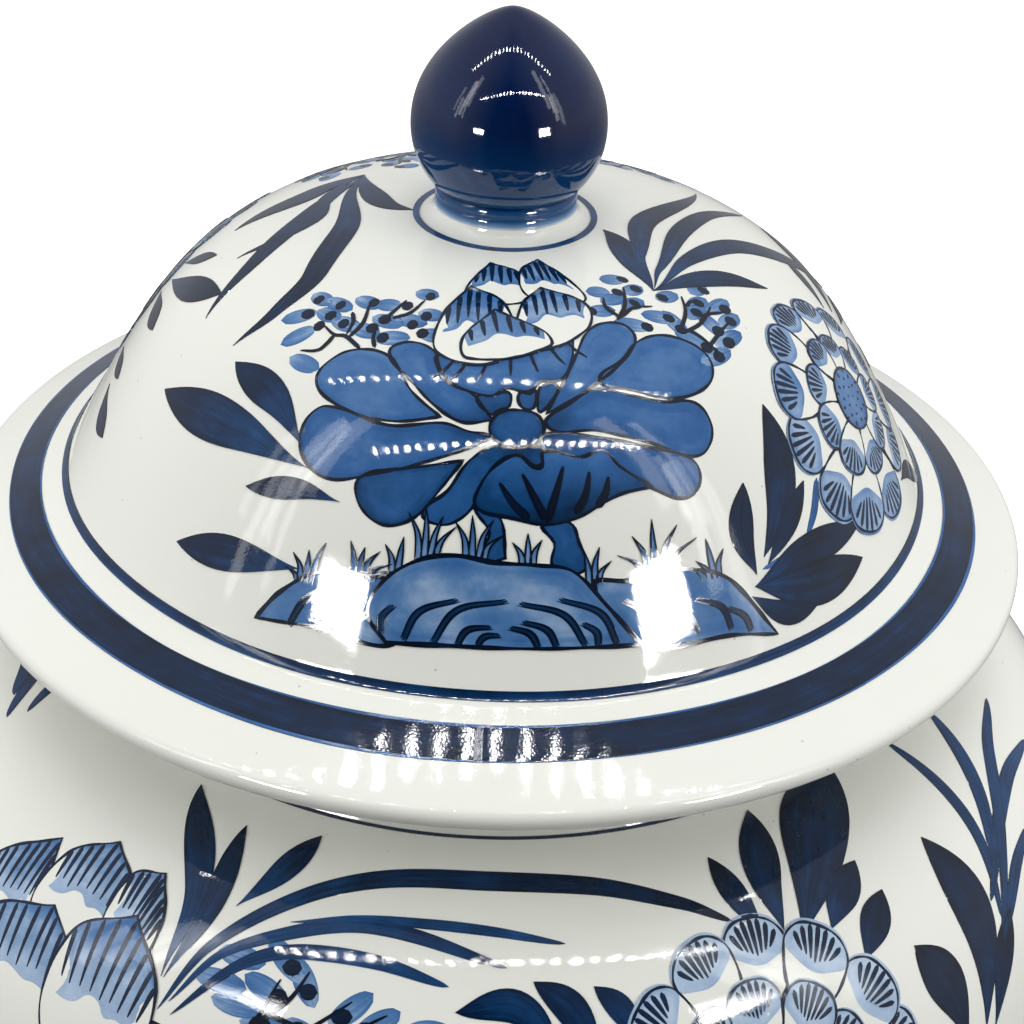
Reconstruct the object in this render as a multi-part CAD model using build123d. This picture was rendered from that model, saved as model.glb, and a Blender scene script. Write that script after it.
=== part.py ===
from build123d import *
import math
import os

# Ginger jar with a domed lid, in millimetres. Z = 0 is the plane that the foot stands on, and the
# Z axis is the axis that every piece is turned about. The glazed skin is part of each wall.

# ---- driving dimensions -------------------------------------------------------------------------
TOTAL_HEIGHT = 399.4       # foot to the tip of the knob, lid on
WALL = 6.0                 # fired wall of the jar and of the dome

FOOT_RADIUS = 93.0         # outer edge of the standing ring
FOOT_INNER_RADIUS = 83.0
FOOT_HEIGHT = 12.0         # foot ring, up to the underside of the jar's floor
FOOT_CHAMFER = 1.2
FOOT_TOP_RADIUS = 91.0     # the wall starts here, and draws in a little above the foot
WAIST_PULL = (11.0, 36.0)  # how far the wall is drawn in above the foot, and at what height
BELLY_DROP = 75.0          # how far down the wall stays as wide as the belly
FLOOR = 8.0                # thickness of the jar's floor

BELLY_RADIUS = 138.5
BELLY_HEIGHT = 200.0       # height of the widest part
SHOULDER_HEIGHT = 272.0    # the neck starts here
SHOULDER_FULLNESS = 0.61   # 0.55 is a quarter ellipse, more is squarer

NECK_RADIUS = 84.0         # outside of the neck
NECK_ROOT = 1.2            # how far the neck flares where it meets the shoulder
NECK_INNER_RADIUS = 78.0
RIM_ROUND = 2.4

SEAT_HEIGHT = 299.0        # flat underside of the lid, which rests on the rim
SEAT_CLEARANCE = 0.3       # glaze gap between the rim and the lid
LEDGE = 5.0                # thickness of the lid over the seat

BRIM_SLOPE = 22.0          # degrees, falling outwards
LIP_CENTRE_RADIUS = 107.1  # the brim ends in a round lip
LIP_CENTRE_HEIGHT = 294.8
LIP_RADIUS = 2.3

DOME_BASE_RADIUS = 88.0
DOME_BASE_HEIGHT = 305.0
DOME_INNER_RADIUS = 81.5   # inside the dome, at the top of the ledge
DOME_LEAN = (20.0, 37.0)   # the foot of the dome leans in by the first for the second of height
DOME_SHOULDER = 61.0       # where the dome turns level, and how far that is below the crown
DOME_SHOULDER_DROP = 1.6
DOME_FILLET = 5.0          # hollow between the dome and the brim
CROWN_RADIUS = 17.5        # the level top of the dome, round the knob
CROWN_HEIGHT = 358.0
CROWN_FLARE = (0.4, 0.2)   # hollow where the dome rises to the knob's seat

COLLAR_RADIUS = 75.5       # locating collar under the lid, inside the jar's neck
COLLAR_WALL = 5.0
COLLAR_DEPTH = 15.0
COLLAR_CHAMFER = 1.0

KNOB_SEAT_RADIUS = 14.0    # the knob is luted to the dome here
KNOB_SEAT_HEIGHT = 360.4
KNOB_NECK_RADIUS = 13.6
KNOB_NECK_HEIGHT = 364.4
KNOB_RADIUS = 18.9
KNOB_WIDEST_HEIGHT = 376.6
KNOB_GROOVE = 1.9          # height of the groove above the seat, under the roll
KNOB_ROLL = 0.7            # how far the roll's control point stands out
KNOB_FLARE = (3.2, 2.8)    # control points of the bud, from the neck, the widest part and the tip
KNOB_UNDER = 5.1
KNOB_OVER = 9.8
KNOB_TIP = (13.2, 6.4)
KNOB_CAP = 3.8             # the tip is rounded over about this radius

EXPORT = "parts"


def turned(*edges):
    """The solid of revolution, about Z, of a closed outline of (radius, height) edges."""
    outline = make_face(Curve() + list(edges))
    return revolve(Plane.XZ * outline, axis=Axis.Z)


def jar_wall(inset, bottom):
    """The jar's profile up from the height bottom, moved in by inset: two smooth curves."""
    belly = BELLY_RADIUS - inset
    foot = FOOT_TOP_RADIUS - inset
    top = SHOULDER_HEIGHT - inset
    mouth = NECK_RADIUS + NECK_ROOT if inset == 0 else NECK_INNER_RADIUS
    lower = Bezier(
        (foot, bottom),
        (foot - WAIST_PULL[0], bottom + WAIST_PULL[1]),
        (belly, BELLY_HEIGHT - BELLY_DROP),
        (belly, BELLY_HEIGHT),
    )
    upper = Bezier(
        (belly, BELLY_HEIGHT),
        (belly, BELLY_HEIGHT + SHOULDER_FULLNESS * (top - BELLY_HEIGHT)),
        (mouth + SHOULDER_FULLNESS * (belly - mouth), top),
        (mouth, top),
    )
    return lower, upper


def foot_ring():
    """The unglazed ring that the jar stands on, with both lower edges broken."""
    c = FOOT_CHAMFER
    ring = Polyline(
        (FOOT_INNER_RADIUS + c, 0),
        (FOOT_RADIUS - c, 0),
        (FOOT_RADIUS, c),
        (FOOT_TOP_RADIUS, FOOT_HEIGHT),
        (FOOT_INNER_RADIUS, FOOT_HEIGHT),
        (FOOT_INNER_RADIUS, c),
        (FOOT_INNER_RADIUS + c, 0),
    )
    return turned(ring)


def jar_body():
    """The hollow body: floor, wall, belly and shoulder, open at the top inside the neck."""
    floor_top = FOOT_HEIGHT + FLOOR
    inner_foot = FOOT_TOP_RADIUS - WALL
    lower, upper = jar_wall(0, FOOT_HEIGHT)
    inner_lower, inner_upper = jar_wall(WALL, floor_top + WALL)
    outside = [
        Line((0, FOOT_HEIGHT), (FOOT_TOP_RADIUS, FOOT_HEIGHT)),
        lower,
        upper,
    ]
    landing = Polyline(
        (NECK_RADIUS + NECK_ROOT, SHOULDER_HEIGHT),
        (NECK_INNER_RADIUS, SHOULDER_HEIGHT),
        (NECK_INNER_RADIUS, SHOULDER_HEIGHT - WALL),
    )
    inside = [
        inner_upper,
        inner_lower,
        Line((inner_foot, floor_top + WALL), (inner_foot - WALL, floor_top)),
        Line((inner_foot - WALL, floor_top), (0, floor_top)),
        Line((0, floor_top), (0, FOOT_HEIGHT)),
    ]
    return turned(*outside, landing, *inside)


def neck_ring():
    """The short neck, luted on the shoulder, with a flared root and a round rim."""
    top = SEAT_HEIGHT - SEAT_CLEARANCE
    root = NECK_RADIUS + NECK_ROOT
    turn = RIM_ROUND
    outline = [
        Line((NECK_INNER_RADIUS, SHOULDER_HEIGHT), (root, SHOULDER_HEIGHT)),
        Bezier(
            (root, SHOULDER_HEIGHT),
            (NECK_RADIUS, SHOULDER_HEIGHT + NECK_ROOT),
            (NECK_RADIUS, SHOULDER_HEIGHT + 4 * NECK_ROOT),
        ),
        Line((NECK_RADIUS, SHOULDER_HEIGHT + 4 * NECK_ROOT), (NECK_RADIUS, top - turn)),
        RadiusArc((NECK_RADIUS, top - turn), (NECK_RADIUS - turn, top), -turn),
        Line((NECK_RADIUS - turn, top), (NECK_INNER_RADIUS + turn, top)),
        RadiusArc((NECK_INNER_RADIUS + turn, top), (NECK_INNER_RADIUS, top - turn), -turn),
        Line((NECK_INNER_RADIUS, top - turn), (NECK_INNER_RADIUS, SHOULDER_HEIGHT)),
    ]
    return turned(*outline)


def dome_curve(base, shoulder, crown_height):
    """The dome's profile from its base up to its crown; shoulder is the radius where it levels."""
    return Bezier(
        base,
        (base[0] - DOME_LEAN[0], base[1] + DOME_LEAN[1]),
        (shoulder, crown_height - DOME_SHOULDER_DROP),
        (CROWN_RADIUS, crown_height),
    )


def lid_shell():
    """The lid: a hollow dome, a ledge over the seat, and a sloping brim with a round lip."""
    slope = math.radians(BRIM_SLOPE)
    across, along = math.sin(slope), math.cos(slope)
    lip = (LIP_CENTRE_RADIUS, LIP_CENTRE_HEIGHT)
    lip_top = (lip[0] + LIP_RADIUS * across, lip[1] + LIP_RADIUS * along)
    lip_side = (lip[0] + LIP_RADIUS * along, lip[1] - LIP_RADIUS * across)
    lip_under = (lip[0] - LIP_RADIUS * across, lip[1] - LIP_RADIUS * along)
    seat_edge = (lip_under[0] - (SEAT_HEIGHT - lip_under[1]) / math.tan(slope), SEAT_HEIGHT)
    ledge_inner = COLLAR_RADIUS - COLLAR_WALL
    ledge_top = SEAT_HEIGHT + LEDGE
    dome_base = (DOME_BASE_RADIUS, DOME_BASE_HEIGHT)
    inner_base = (DOME_INNER_RADIUS, ledge_top)
    outline = [
        Line((0, KNOB_SEAT_HEIGHT), (KNOB_SEAT_RADIUS, KNOB_SEAT_HEIGHT)),
        Bezier(
            (KNOB_SEAT_RADIUS, KNOB_SEAT_HEIGHT),
            (KNOB_SEAT_RADIUS + CROWN_FLARE[0], CROWN_HEIGHT + CROWN_FLARE[1]),
            (CROWN_RADIUS, CROWN_HEIGHT),
        ),
        dome_curve(dome_base, DOME_SHOULDER, CROWN_HEIGHT),
        Line(dome_base, lip_top),
        ThreePointArc(lip_top, lip_side, lip_under),
        Line(lip_under, seat_edge),
        Line(seat_edge, (ledge_inner, SEAT_HEIGHT)),
        Line((ledge_inner, SEAT_HEIGHT), (ledge_inner, ledge_top)),
        Line((ledge_inner, ledge_top), inner_base),
        dome_curve(inner_base, DOME_SHOULDER - 0.7 * WALL, CROWN_HEIGHT - WALL),
        Line((CROWN_RADIUS, CROWN_HEIGHT - WALL), (0, CROWN_HEIGHT - WALL)),
        Line((0, CROWN_HEIGHT - WALL), (0, KNOB_SEAT_HEIGHT)),
    ]
    section = make_face(Curve() + outline)
    corner = section.vertices().sort_by_distance((*dome_base, 0))[0]
    section = fillet(corner, radius=DOME_FILLET)
    return revolve(Plane.XZ * section, axis=Axis.Z)


def lid_collar():
    """The collar under the lid that keeps it central in the neck, with its lower edges broken."""
    outer = COLLAR_RADIUS
    inner = COLLAR_RADIUS - COLLAR_WALL
    low = SEAT_HEIGHT - COLLAR_DEPTH
    c = COLLAR_CHAMFER
    ring = Polyline(
        (inner, SEAT_HEIGHT),
        (inner, low + c),
        (inner + c, low),
        (outer - c, low),
        (outer, low + c),
        (outer, SEAT_HEIGHT),
        (inner, SEAT_HEIGHT),
    )
    return turned(ring)


def knob():
    """The bud-shaped knob on its collar of two soft rolls."""
    seat = (KNOB_SEAT_RADIUS, KNOB_SEAT_HEIGHT)
    groove = (KNOB_NECK_RADIUS, KNOB_SEAT_HEIGHT + KNOB_GROOVE)
    neck = (KNOB_NECK_RADIUS, KNOB_NECK_HEIGHT)
    roll = (KNOB_NECK_RADIUS + KNOB_ROLL, (groove[1] + neck[1]) / 2)
    widest = (KNOB_RADIUS, KNOB_WIDEST_HEIGHT)
    flare = (neck[0] + KNOB_FLARE[0], neck[1] + KNOB_FLARE[1])
    tip = (0, TOTAL_HEIGHT)
    outline = [
        Line((0, KNOB_SEAT_HEIGHT), seat),
        Bezier(seat, (KNOB_SEAT_RADIUS, (seat[1] + groove[1]) / 2), groove),
        Bezier(groove, roll, neck),
        Bezier(neck, flare, (KNOB_RADIUS, widest[1] - KNOB_UNDER), widest),
        Bezier(
            widest,
            (KNOB_RADIUS, widest[1] + KNOB_OVER),
            (KNOB_TIP[0], tip[1] - KNOB_TIP[1]),
            (KNOB_CAP, tip[1]),
            tip,
        ),
        Line(tip, (0, KNOB_SEAT_HEIGHT)),
    ]
    return turned(*outline)


PIECES = {
    "foot_ring": foot_ring,
    "jar_body": jar_body,
    "neck_ring": neck_ring,
    "lid_shell": lid_shell,
    "lid_collar": lid_collar,
    "knob": knob,
}

os.makedirs(EXPORT, exist_ok=True)
for name, make in PIECES.items():
    piece = make()
    export_step(piece, f"{EXPORT}/{name}.step")
    box = piece.bounding_box()
    print(f"{name}: {piece.volume / 1000:.1f} cm3, z {box.min.Z:.1f} to {box.max.Z:.1f}")
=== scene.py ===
import math
import random

import bpy
import numpy as np
from mathutils import Matrix, Vector
from mathutils.geometry import delaunay_2d_cdt


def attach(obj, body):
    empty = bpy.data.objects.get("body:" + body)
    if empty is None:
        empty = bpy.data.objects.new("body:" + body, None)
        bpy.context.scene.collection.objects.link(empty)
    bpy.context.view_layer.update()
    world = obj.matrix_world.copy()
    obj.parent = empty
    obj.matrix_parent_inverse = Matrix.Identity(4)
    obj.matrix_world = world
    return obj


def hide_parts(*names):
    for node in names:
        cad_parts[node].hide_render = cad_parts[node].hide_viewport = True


# A porcelain ginger jar, turned about Z and painted in cobalt blue under a clear glaze. Profiles are
# lists of (radius, height) in millimetres; a place on a glazed surface is an azimuth in degrees
# (0 at the front, positive to the right) and a distance down the profile in millimetres.

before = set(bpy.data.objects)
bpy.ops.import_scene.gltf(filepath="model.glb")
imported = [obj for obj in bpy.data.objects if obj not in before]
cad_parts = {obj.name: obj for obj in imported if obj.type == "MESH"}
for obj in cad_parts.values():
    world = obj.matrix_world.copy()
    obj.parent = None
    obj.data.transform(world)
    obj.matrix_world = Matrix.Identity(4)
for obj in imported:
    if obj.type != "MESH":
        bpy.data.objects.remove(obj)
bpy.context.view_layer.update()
MM = 0.001

# ---- the sizes that the CAD model was drawn to, mm ------------------------------------------------
TOTAL_HEIGHT = 399.4
WALL = 6.0
FOOT_RADIUS, FOOT_INNER_RADIUS, FOOT_HEIGHT, FOOT_CHAMFER = 93.0, 83.0, 12.0, 1.2
FOOT_TOP_RADIUS, FLOOR = 91.0, 8.0
WAIST_PULL = (11.0, 36.0)  # how far the wall is drawn in above the foot, and at what height
BELLY_RADIUS, BELLY_HEIGHT, BELLY_DROP = 138.5, 200.0, 75.0
SHOULDER_HEIGHT, SHOULDER_FULLNESS = 272.0, 0.61
NECK_RADIUS, NECK_INNER_RADIUS, NECK_ROOT, RIM_ROUND = 84.0, 78.0, 1.2, 2.4
SEAT_HEIGHT, SEAT_CLEARANCE = 299.0, 0.3
BRIM_SLOPE = 22.0
LIP_CENTRE, LIP_RADIUS = (107.1, 294.8), 2.3
DOME_BASE, DOME_INNER_BASE, DOME_FILLET = (88.0, 305.0), (81.5, 304.0), 5.0
DOME_LEAN, DOME_SHOULDER, DOME_SHOULDER_DROP = (20.0, 37.0), 61.0, 1.6
CROWN, CROWN_FLARE = (17.5, 358.0), (0.4, 0.2)
COLLAR_RADIUS, COLLAR_WALL, COLLAR_DEPTH, COLLAR_CHAMFER = 75.5, 5.0, 15.0, 1.0
KNOB_SEAT, KNOB_NECK, KNOB_WIDEST = (14.0, 360.4), (13.6, 364.4), (18.9, 376.6)
KNOB_FOOT, KNOB_GROOVE, KNOB_ROLL = 1.4, 1.9, 0.7  # the collar's foot, its groove and its roll
KNOB_FLARE, KNOB_UNDER, KNOB_OVER = (3.2, 2.8), 5.1, 9.8  # fullness of the bud, going up
KNOB_TIP, KNOB_CAP = (13.2, 6.4), 3.8

SEGMENTS = 320             # round each turned piece
SHARP_ANGLE = 40.0         # edges sharper than this stay crisp, degrees


# ---- profiles -------------------------------------------------------------------------------------
def bezier(*points, count=24):
    """Points along a Bezier curve, given by its control points."""
    t = np.linspace(0, 1, count)[:, None]
    last = len(points) - 1
    weights = [math.comb(last, i) * (1 - t) ** (last - i) * t**i for i in range(last + 1)]
    return sum(weight * np.array(point, float) for weight, point in zip(weights, points))


def straight(start, end, count=8):
    """Points along a straight line."""
    return np.linspace(np.array(start, float), np.array(end, float), count)


def arc(centre, radius, first, last, count=12):
    """Points along an arc; angles in degrees, 0 outwards and 90 up."""
    turn = np.radians(np.linspace(first, last, count))
    return np.array(centre) + radius * np.stack([np.cos(turn), np.sin(turn)], axis=1)


def joined(*stretches):
    """One profile from several, without repeated points."""
    path = np.vstack(stretches)
    step = np.hypot(*np.diff(path, axis=0).T)
    return path[np.r_[True, step > 1e-4]]


def dome_curve(base, shoulder, crown_height):
    """The dome from its crown down to its base; shoulder is the radius where it levels."""
    return bezier(
        (CROWN[0], crown_height),
        (shoulder, crown_height - DOME_SHOULDER_DROP),
        (base[0] - DOME_LEAN[0], base[1] + DOME_LEAN[1]),
        base,
        count=90,
    )


def lid_outside():
    """The lid's glazed upper side: from the knob's seat over the dome and brim, round the lip."""
    slope = math.radians(BRIM_SLOPE)
    lip_top = np.array(LIP_CENTRE) + LIP_RADIUS * np.array([math.sin(slope), math.cos(slope)])
    corner = np.array(DOME_BASE)
    up = np.array([-DOME_LEAN[0], DOME_LEAN[1]]) / math.hypot(*DOME_LEAN)
    out = (lip_top - corner) / np.linalg.norm(lip_top - corner)
    cut = DOME_FILLET / math.tan(math.acos(up @ out) / 2)
    dome = dome_curve(DOME_BASE, DOME_SHOULDER, CROWN[1])
    dome = dome[np.linalg.norm(dome - corner, axis=1) > cut]
    return joined(
        bezier(KNOB_SEAT, (KNOB_SEAT[0] + CROWN_FLARE[0], CROWN[1] + CROWN_FLARE[1]), CROWN, count=12),
        dome,
        bezier(corner + cut * up, corner, corner + cut * out, count=14),
        straight(corner + cut * out, lip_top, 12),
        arc(LIP_CENTRE, LIP_RADIUS, 90 - BRIM_SLOPE, -90 - BRIM_SLOPE, 20),
    )


def lid_underside():
    """The lid's hidden side, from the lip in to the crown."""
    slope = math.radians(BRIM_SLOPE)
    under = (LIP_CENTRE[0] - LIP_RADIUS * math.sin(slope), LIP_CENTRE[1] - LIP_RADIUS * math.cos(slope))
    seat_edge = (under[0] - (SEAT_HEIGHT - under[1]) / math.tan(slope), SEAT_HEIGHT)
    ledge = COLLAR_RADIUS - COLLAR_WALL
    inside = dome_curve(DOME_INNER_BASE, DOME_SHOULDER - 0.7 * WALL, CROWN[1] - WALL)[::-1]
    return joined(
        straight(under, seat_edge),
        straight(seat_edge, (ledge, SEAT_HEIGHT)),
        straight((ledge, SEAT_HEIGHT), (ledge, inside[0][1]), 4),
        straight((ledge, inside[0][1]), inside[0], 4),
        inside,
        straight(inside[-1], (0, CROWN[1] - WALL), 4),
    )


def jar_wall(inset, mouth, bottom):
    """The jar's wall from the neck down to the height bottom, moved in by inset."""
    belly = BELLY_RADIUS - inset
    foot = FOOT_TOP_RADIUS - inset
    top = SHOULDER_HEIGHT - inset
    return joined(
        bezier(
            (mouth, top),
            (mouth + SHOULDER_FULLNESS * (belly - mouth), top),
            (belly, BELLY_HEIGHT + SHOULDER_FULLNESS * (top - BELLY_HEIGHT)),
            (belly, BELLY_HEIGHT),
            count=80,
        ),
        bezier(
            (belly, BELLY_HEIGHT),
            (belly, BELLY_HEIGHT - BELLY_DROP),
            (foot - WAIST_PULL[0], bottom + WAIST_PULL[1]),
            (foot, bottom),
            count=90,
        ),
    )


def knob_outside():
    """The bud knob from its tip down to its seat on the dome."""
    groove = (KNOB_NECK[0], KNOB_SEAT[1] + KNOB_GROOVE)
    roll = (groove[0] + KNOB_ROLL, (groove[1] + KNOB_NECK[1]) / 2)
    return joined(
        bezier(
            (0, TOTAL_HEIGHT),
            (KNOB_CAP, TOTAL_HEIGHT),
            (KNOB_TIP[0], TOTAL_HEIGHT - KNOB_TIP[1]),
            (KNOB_WIDEST[0], KNOB_WIDEST[1] + KNOB_OVER),
            KNOB_WIDEST,
            count=60,
        ),
        bezier(
            KNOB_WIDEST,
            (KNOB_WIDEST[0], KNOB_WIDEST[1] - KNOB_UNDER),
            (KNOB_NECK[0] + KNOB_FLARE[0], KNOB_NECK[1] + KNOB_FLARE[1]),
            KNOB_NECK,
            count=40,
        ),
        bezier(KNOB_NECK, roll, groove, count=12),
        bezier(groove, (KNOB_SEAT[0], KNOB_SEAT[1] + KNOB_FOOT), KNOB_SEAT, count=12),
    )


# ---- turned pieces --------------------------------------------------------------------------------
def turned_piece(name, profile, material, body, stands_for, ink=None):
    """A smooth turned mesh, round a profile that ends on the axis or meets itself in a ring.

    ink, where it is given, is the depth of colour at each point of the profile.
    """
    profile = np.asarray(profile) * MM
    on_axis = profile[:, 0] < 1e-9
    turn = np.linspace(0, 2 * math.pi, SEGMENTS, endpoint=False)
    circle = np.stack([np.sin(turn), -np.cos(turn)], axis=1)
    verts, rings = [], []
    for (radius, height), axial in zip(profile, on_axis):
        first = len(verts)
        if axial:
            verts.append((0.0, 0.0, height))
            rings.append([first] * SEGMENTS)
        else:
            verts.extend((radius * x, radius * y, height) for x, y in circle)
            rings.append(list(range(first, first + SEGMENTS)))
    pairs = list(zip(rings, rings[1:]))
    if not on_axis[0]:
        pairs.append((rings[-1], rings[0]))
    faces = []
    for upper, lower in pairs:
        for i in range(SEGMENTS):
            j = (i + 1) % SEGMENTS
            loop = [upper[i], lower[i], lower[j], upper[j]]
            face = list(dict.fromkeys(loop))
            if len(face) > 2:
                faces.append(face)
    mesh = bpy.data.meshes.new(name)
    mesh.from_pydata(verts, [], faces)
    mesh.shade_smooth()
    piece = bpy.data.objects.new(name, mesh)
    bpy.context.scene.collection.objects.link(piece)
    mesh.materials.append(material)
    mesh.set_sharp_from_angle(angle=math.radians(SHARP_ANGLE))
    if ink is not None:
        tone = mesh.attributes.new("ink", "FLOAT", "POINT")
        sizes = [len(set(ring)) for ring in rings]
        tone.data.foreach_set("value", np.repeat(ink, sizes).astype(np.float32))
    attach(piece, body)
    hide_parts(stands_for)
    return piece


# ---- glazed surfaces, and drawing boards wrapped on them -------------------------------------------
class Skin:
    """The glazed side of a turned piece, for painting on: azimuth in degrees, distance down in mm."""

    def __init__(self, profile):
        self.path = profile
        self.down = np.r_[0, np.cumsum(np.hypot(*np.diff(profile, axis=0).T))]
        tangent = np.gradient(profile, self.down, axis=0)
        self.out = np.stack([-tangent[:, 1], tangent[:, 0]], axis=1)

    def radius(self, down):
        return np.interp(down, self.down, self.path[:, 0])

    def lay(self, azimuth, down, lift):
        """Points, in metres, lifted off the glaze by lift mm, and the glaze's normals there."""
        radius, height = (np.interp(down, self.down, self.path[:, k]) for k in (0, 1))
        out, up = (np.interp(down, self.down, self.out[:, k]) for k in (0, 1))
        size = np.hypot(out, up)
        out, up = out / size, up / size
        turn = np.radians(azimuth)
        side, front = np.sin(turn), -np.cos(turn)
        reach = radius + lift * out
        points = np.stack([reach * side, reach * front, height + lift * up], axis=1)
        return points * MM, np.stack([out * side, out * front, up], axis=1)


class Board:
    """A flat drawing board wrapped on a skin: x mm to the right and y mm up from its centre."""

    def __init__(self, skin, azimuth, down, turn=0.0, scale=1.0):
        self.skin, self.azimuth, self.down = skin, azimuth, down
        self.girth = float(skin.radius(down))
        c, s = math.cos(math.radians(turn)) * scale, math.sin(math.radians(turn)) * scale
        self.turn = np.array([[c, s], [-s, c]])

    def to_skin(self, points):
        x, y = (np.asarray(points) @ self.turn).T
        return self.azimuth + np.degrees(x / self.girth), self.down - y

    def stretch(self, points):
        """How much wider than the board the skin is there: it draws in towards the axis."""
        y = (np.asarray(points) @ self.turn)[:, 1]
        return np.maximum(self.skin.radius(self.down - y) / self.girth, 0.2)


def smooth(points, closed=False, step=1.0):
    """A smooth line through a few points. A point given twice running is a sharp corner."""
    points = [np.array(p, float) for p in points]
    if closed:
        points = [points[-1], *points, points[0], points[1]]
    else:
        points = [2 * points[0] - points[1], *points, 2 * points[-1] - points[-2]]
    line = []
    for before, start, end, after in zip(points, points[1:], points[2:], points[3:]):
        gap = np.linalg.norm(end - start)
        if gap < 1e-6:
            continue
        reach = 0.5 * gap
        leave = end - before if np.linalg.norm(start - before) > 1e-6 else end - start
        arrive = after - start if np.linalg.norm(after - end) > 1e-6 else end - start
        leave = reach * leave / (np.linalg.norm(leave) + 1e-9)
        arrive = reach * arrive / (np.linalg.norm(arrive) + 1e-9)
        count = max(3, int(gap / step) + 1)
        t = np.linspace(0, 1, count, endpoint=False)[:, None]
        line.append(
            (2 * t**3 - 3 * t**2 + 1) * start
            + (t**3 - 2 * t**2 + t) * leave * 2
            + (-2 * t**3 + 3 * t**2) * end
            + (t**3 - t**2) * arrive * 2
        )
    if not closed:
        line.append(points[-2][None, :])
    return np.vstack(line)


def around(*loops):
    """The pairs of neighbours round each closed loop."""
    return [pair for loop in loops for pair in zip(loop, [*loop[1:], loop[0]])]


def ribbon(rows, lanes, closed):
    """The cells of a grid, a few lanes across and many rows long, and its edges, anticlockwise."""
    def at(i, j):
        return (i % rows) * lanes + j

    cells = [
        (at(i, j), at(i + 1, j), at(i + 1, j + 1), at(i, j + 1))
        for i in range(rows if closed else rows - 1)
        for j in range(lanes - 1)
    ]
    right = [at(i, 0) for i in range(rows)]
    left = [at(i, lanes - 1) for i in reversed(range(rows))]
    if closed:
        return cells, around(right, left)
    end = [at(rows - 1, j) for j in range(1, lanes - 1)]
    start = [at(0, j) for j in reversed(range(1, lanes - 1))]
    return cells, around(right + end + left + start)


def filling(outline, ahead):
    """Grid points inside a closed line, and how far each is from it; ahead is the line, one on."""
    low, high = outline.min(axis=0), outline.max(axis=0)
    grid = np.array([
        (x, y)
        for x in np.arange(low[0], high[0], GRAIN)
        for y in np.arange(low[1], high[1], GRAIN)
    ])
    side = ahead - outline
    lead = grid[:, None, :] - outline[None, :, :]
    share = np.clip((lead * side).sum(axis=2) / (side**2).sum(axis=1), 0, 1)
    gap = np.linalg.norm(lead - share[:, :, None] * side, axis=2).min(axis=1)
    crossing = (outline[:, 1] > grid[:, 1:2]) != (ahead[:, 1] > grid[:, 1:2])
    slant = side[:, 0] / np.where(side[:, 1] == 0, 1e-9, side[:, 1])
    before = grid[:, 0:1] < outline[:, 0] + (grid[:, 1:2] - outline[:, 1]) * slant
    inside = ((crossing & before).sum(axis=1) % 2 == 1) & (gap > 0.45 * GRAIN)
    return grid[inside], gap[inside]


# How far each kind of paint lies off the glaze, mm: later strokes lie on earlier ones.
WASH, SHADE, RESERVE, MARK, TOP = 0.05, 0.08, 0.11, 0.14, 0.17
COAT, LAYER = 0.010, 0.04  # from one coat to the next, and from one petal to the next
RING = 0.16                # from one ring of petals to the next
SINK = 0.12                # how deep the underside of the paint is bedded in the glaze
GRAIN = 1.6                # widest cell across a brush stroke
THINNEST = 0.06            # narrowest stroke
POOL_EDGE = 3.0            # how far in from the edge of a wash its colour gathers


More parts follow.
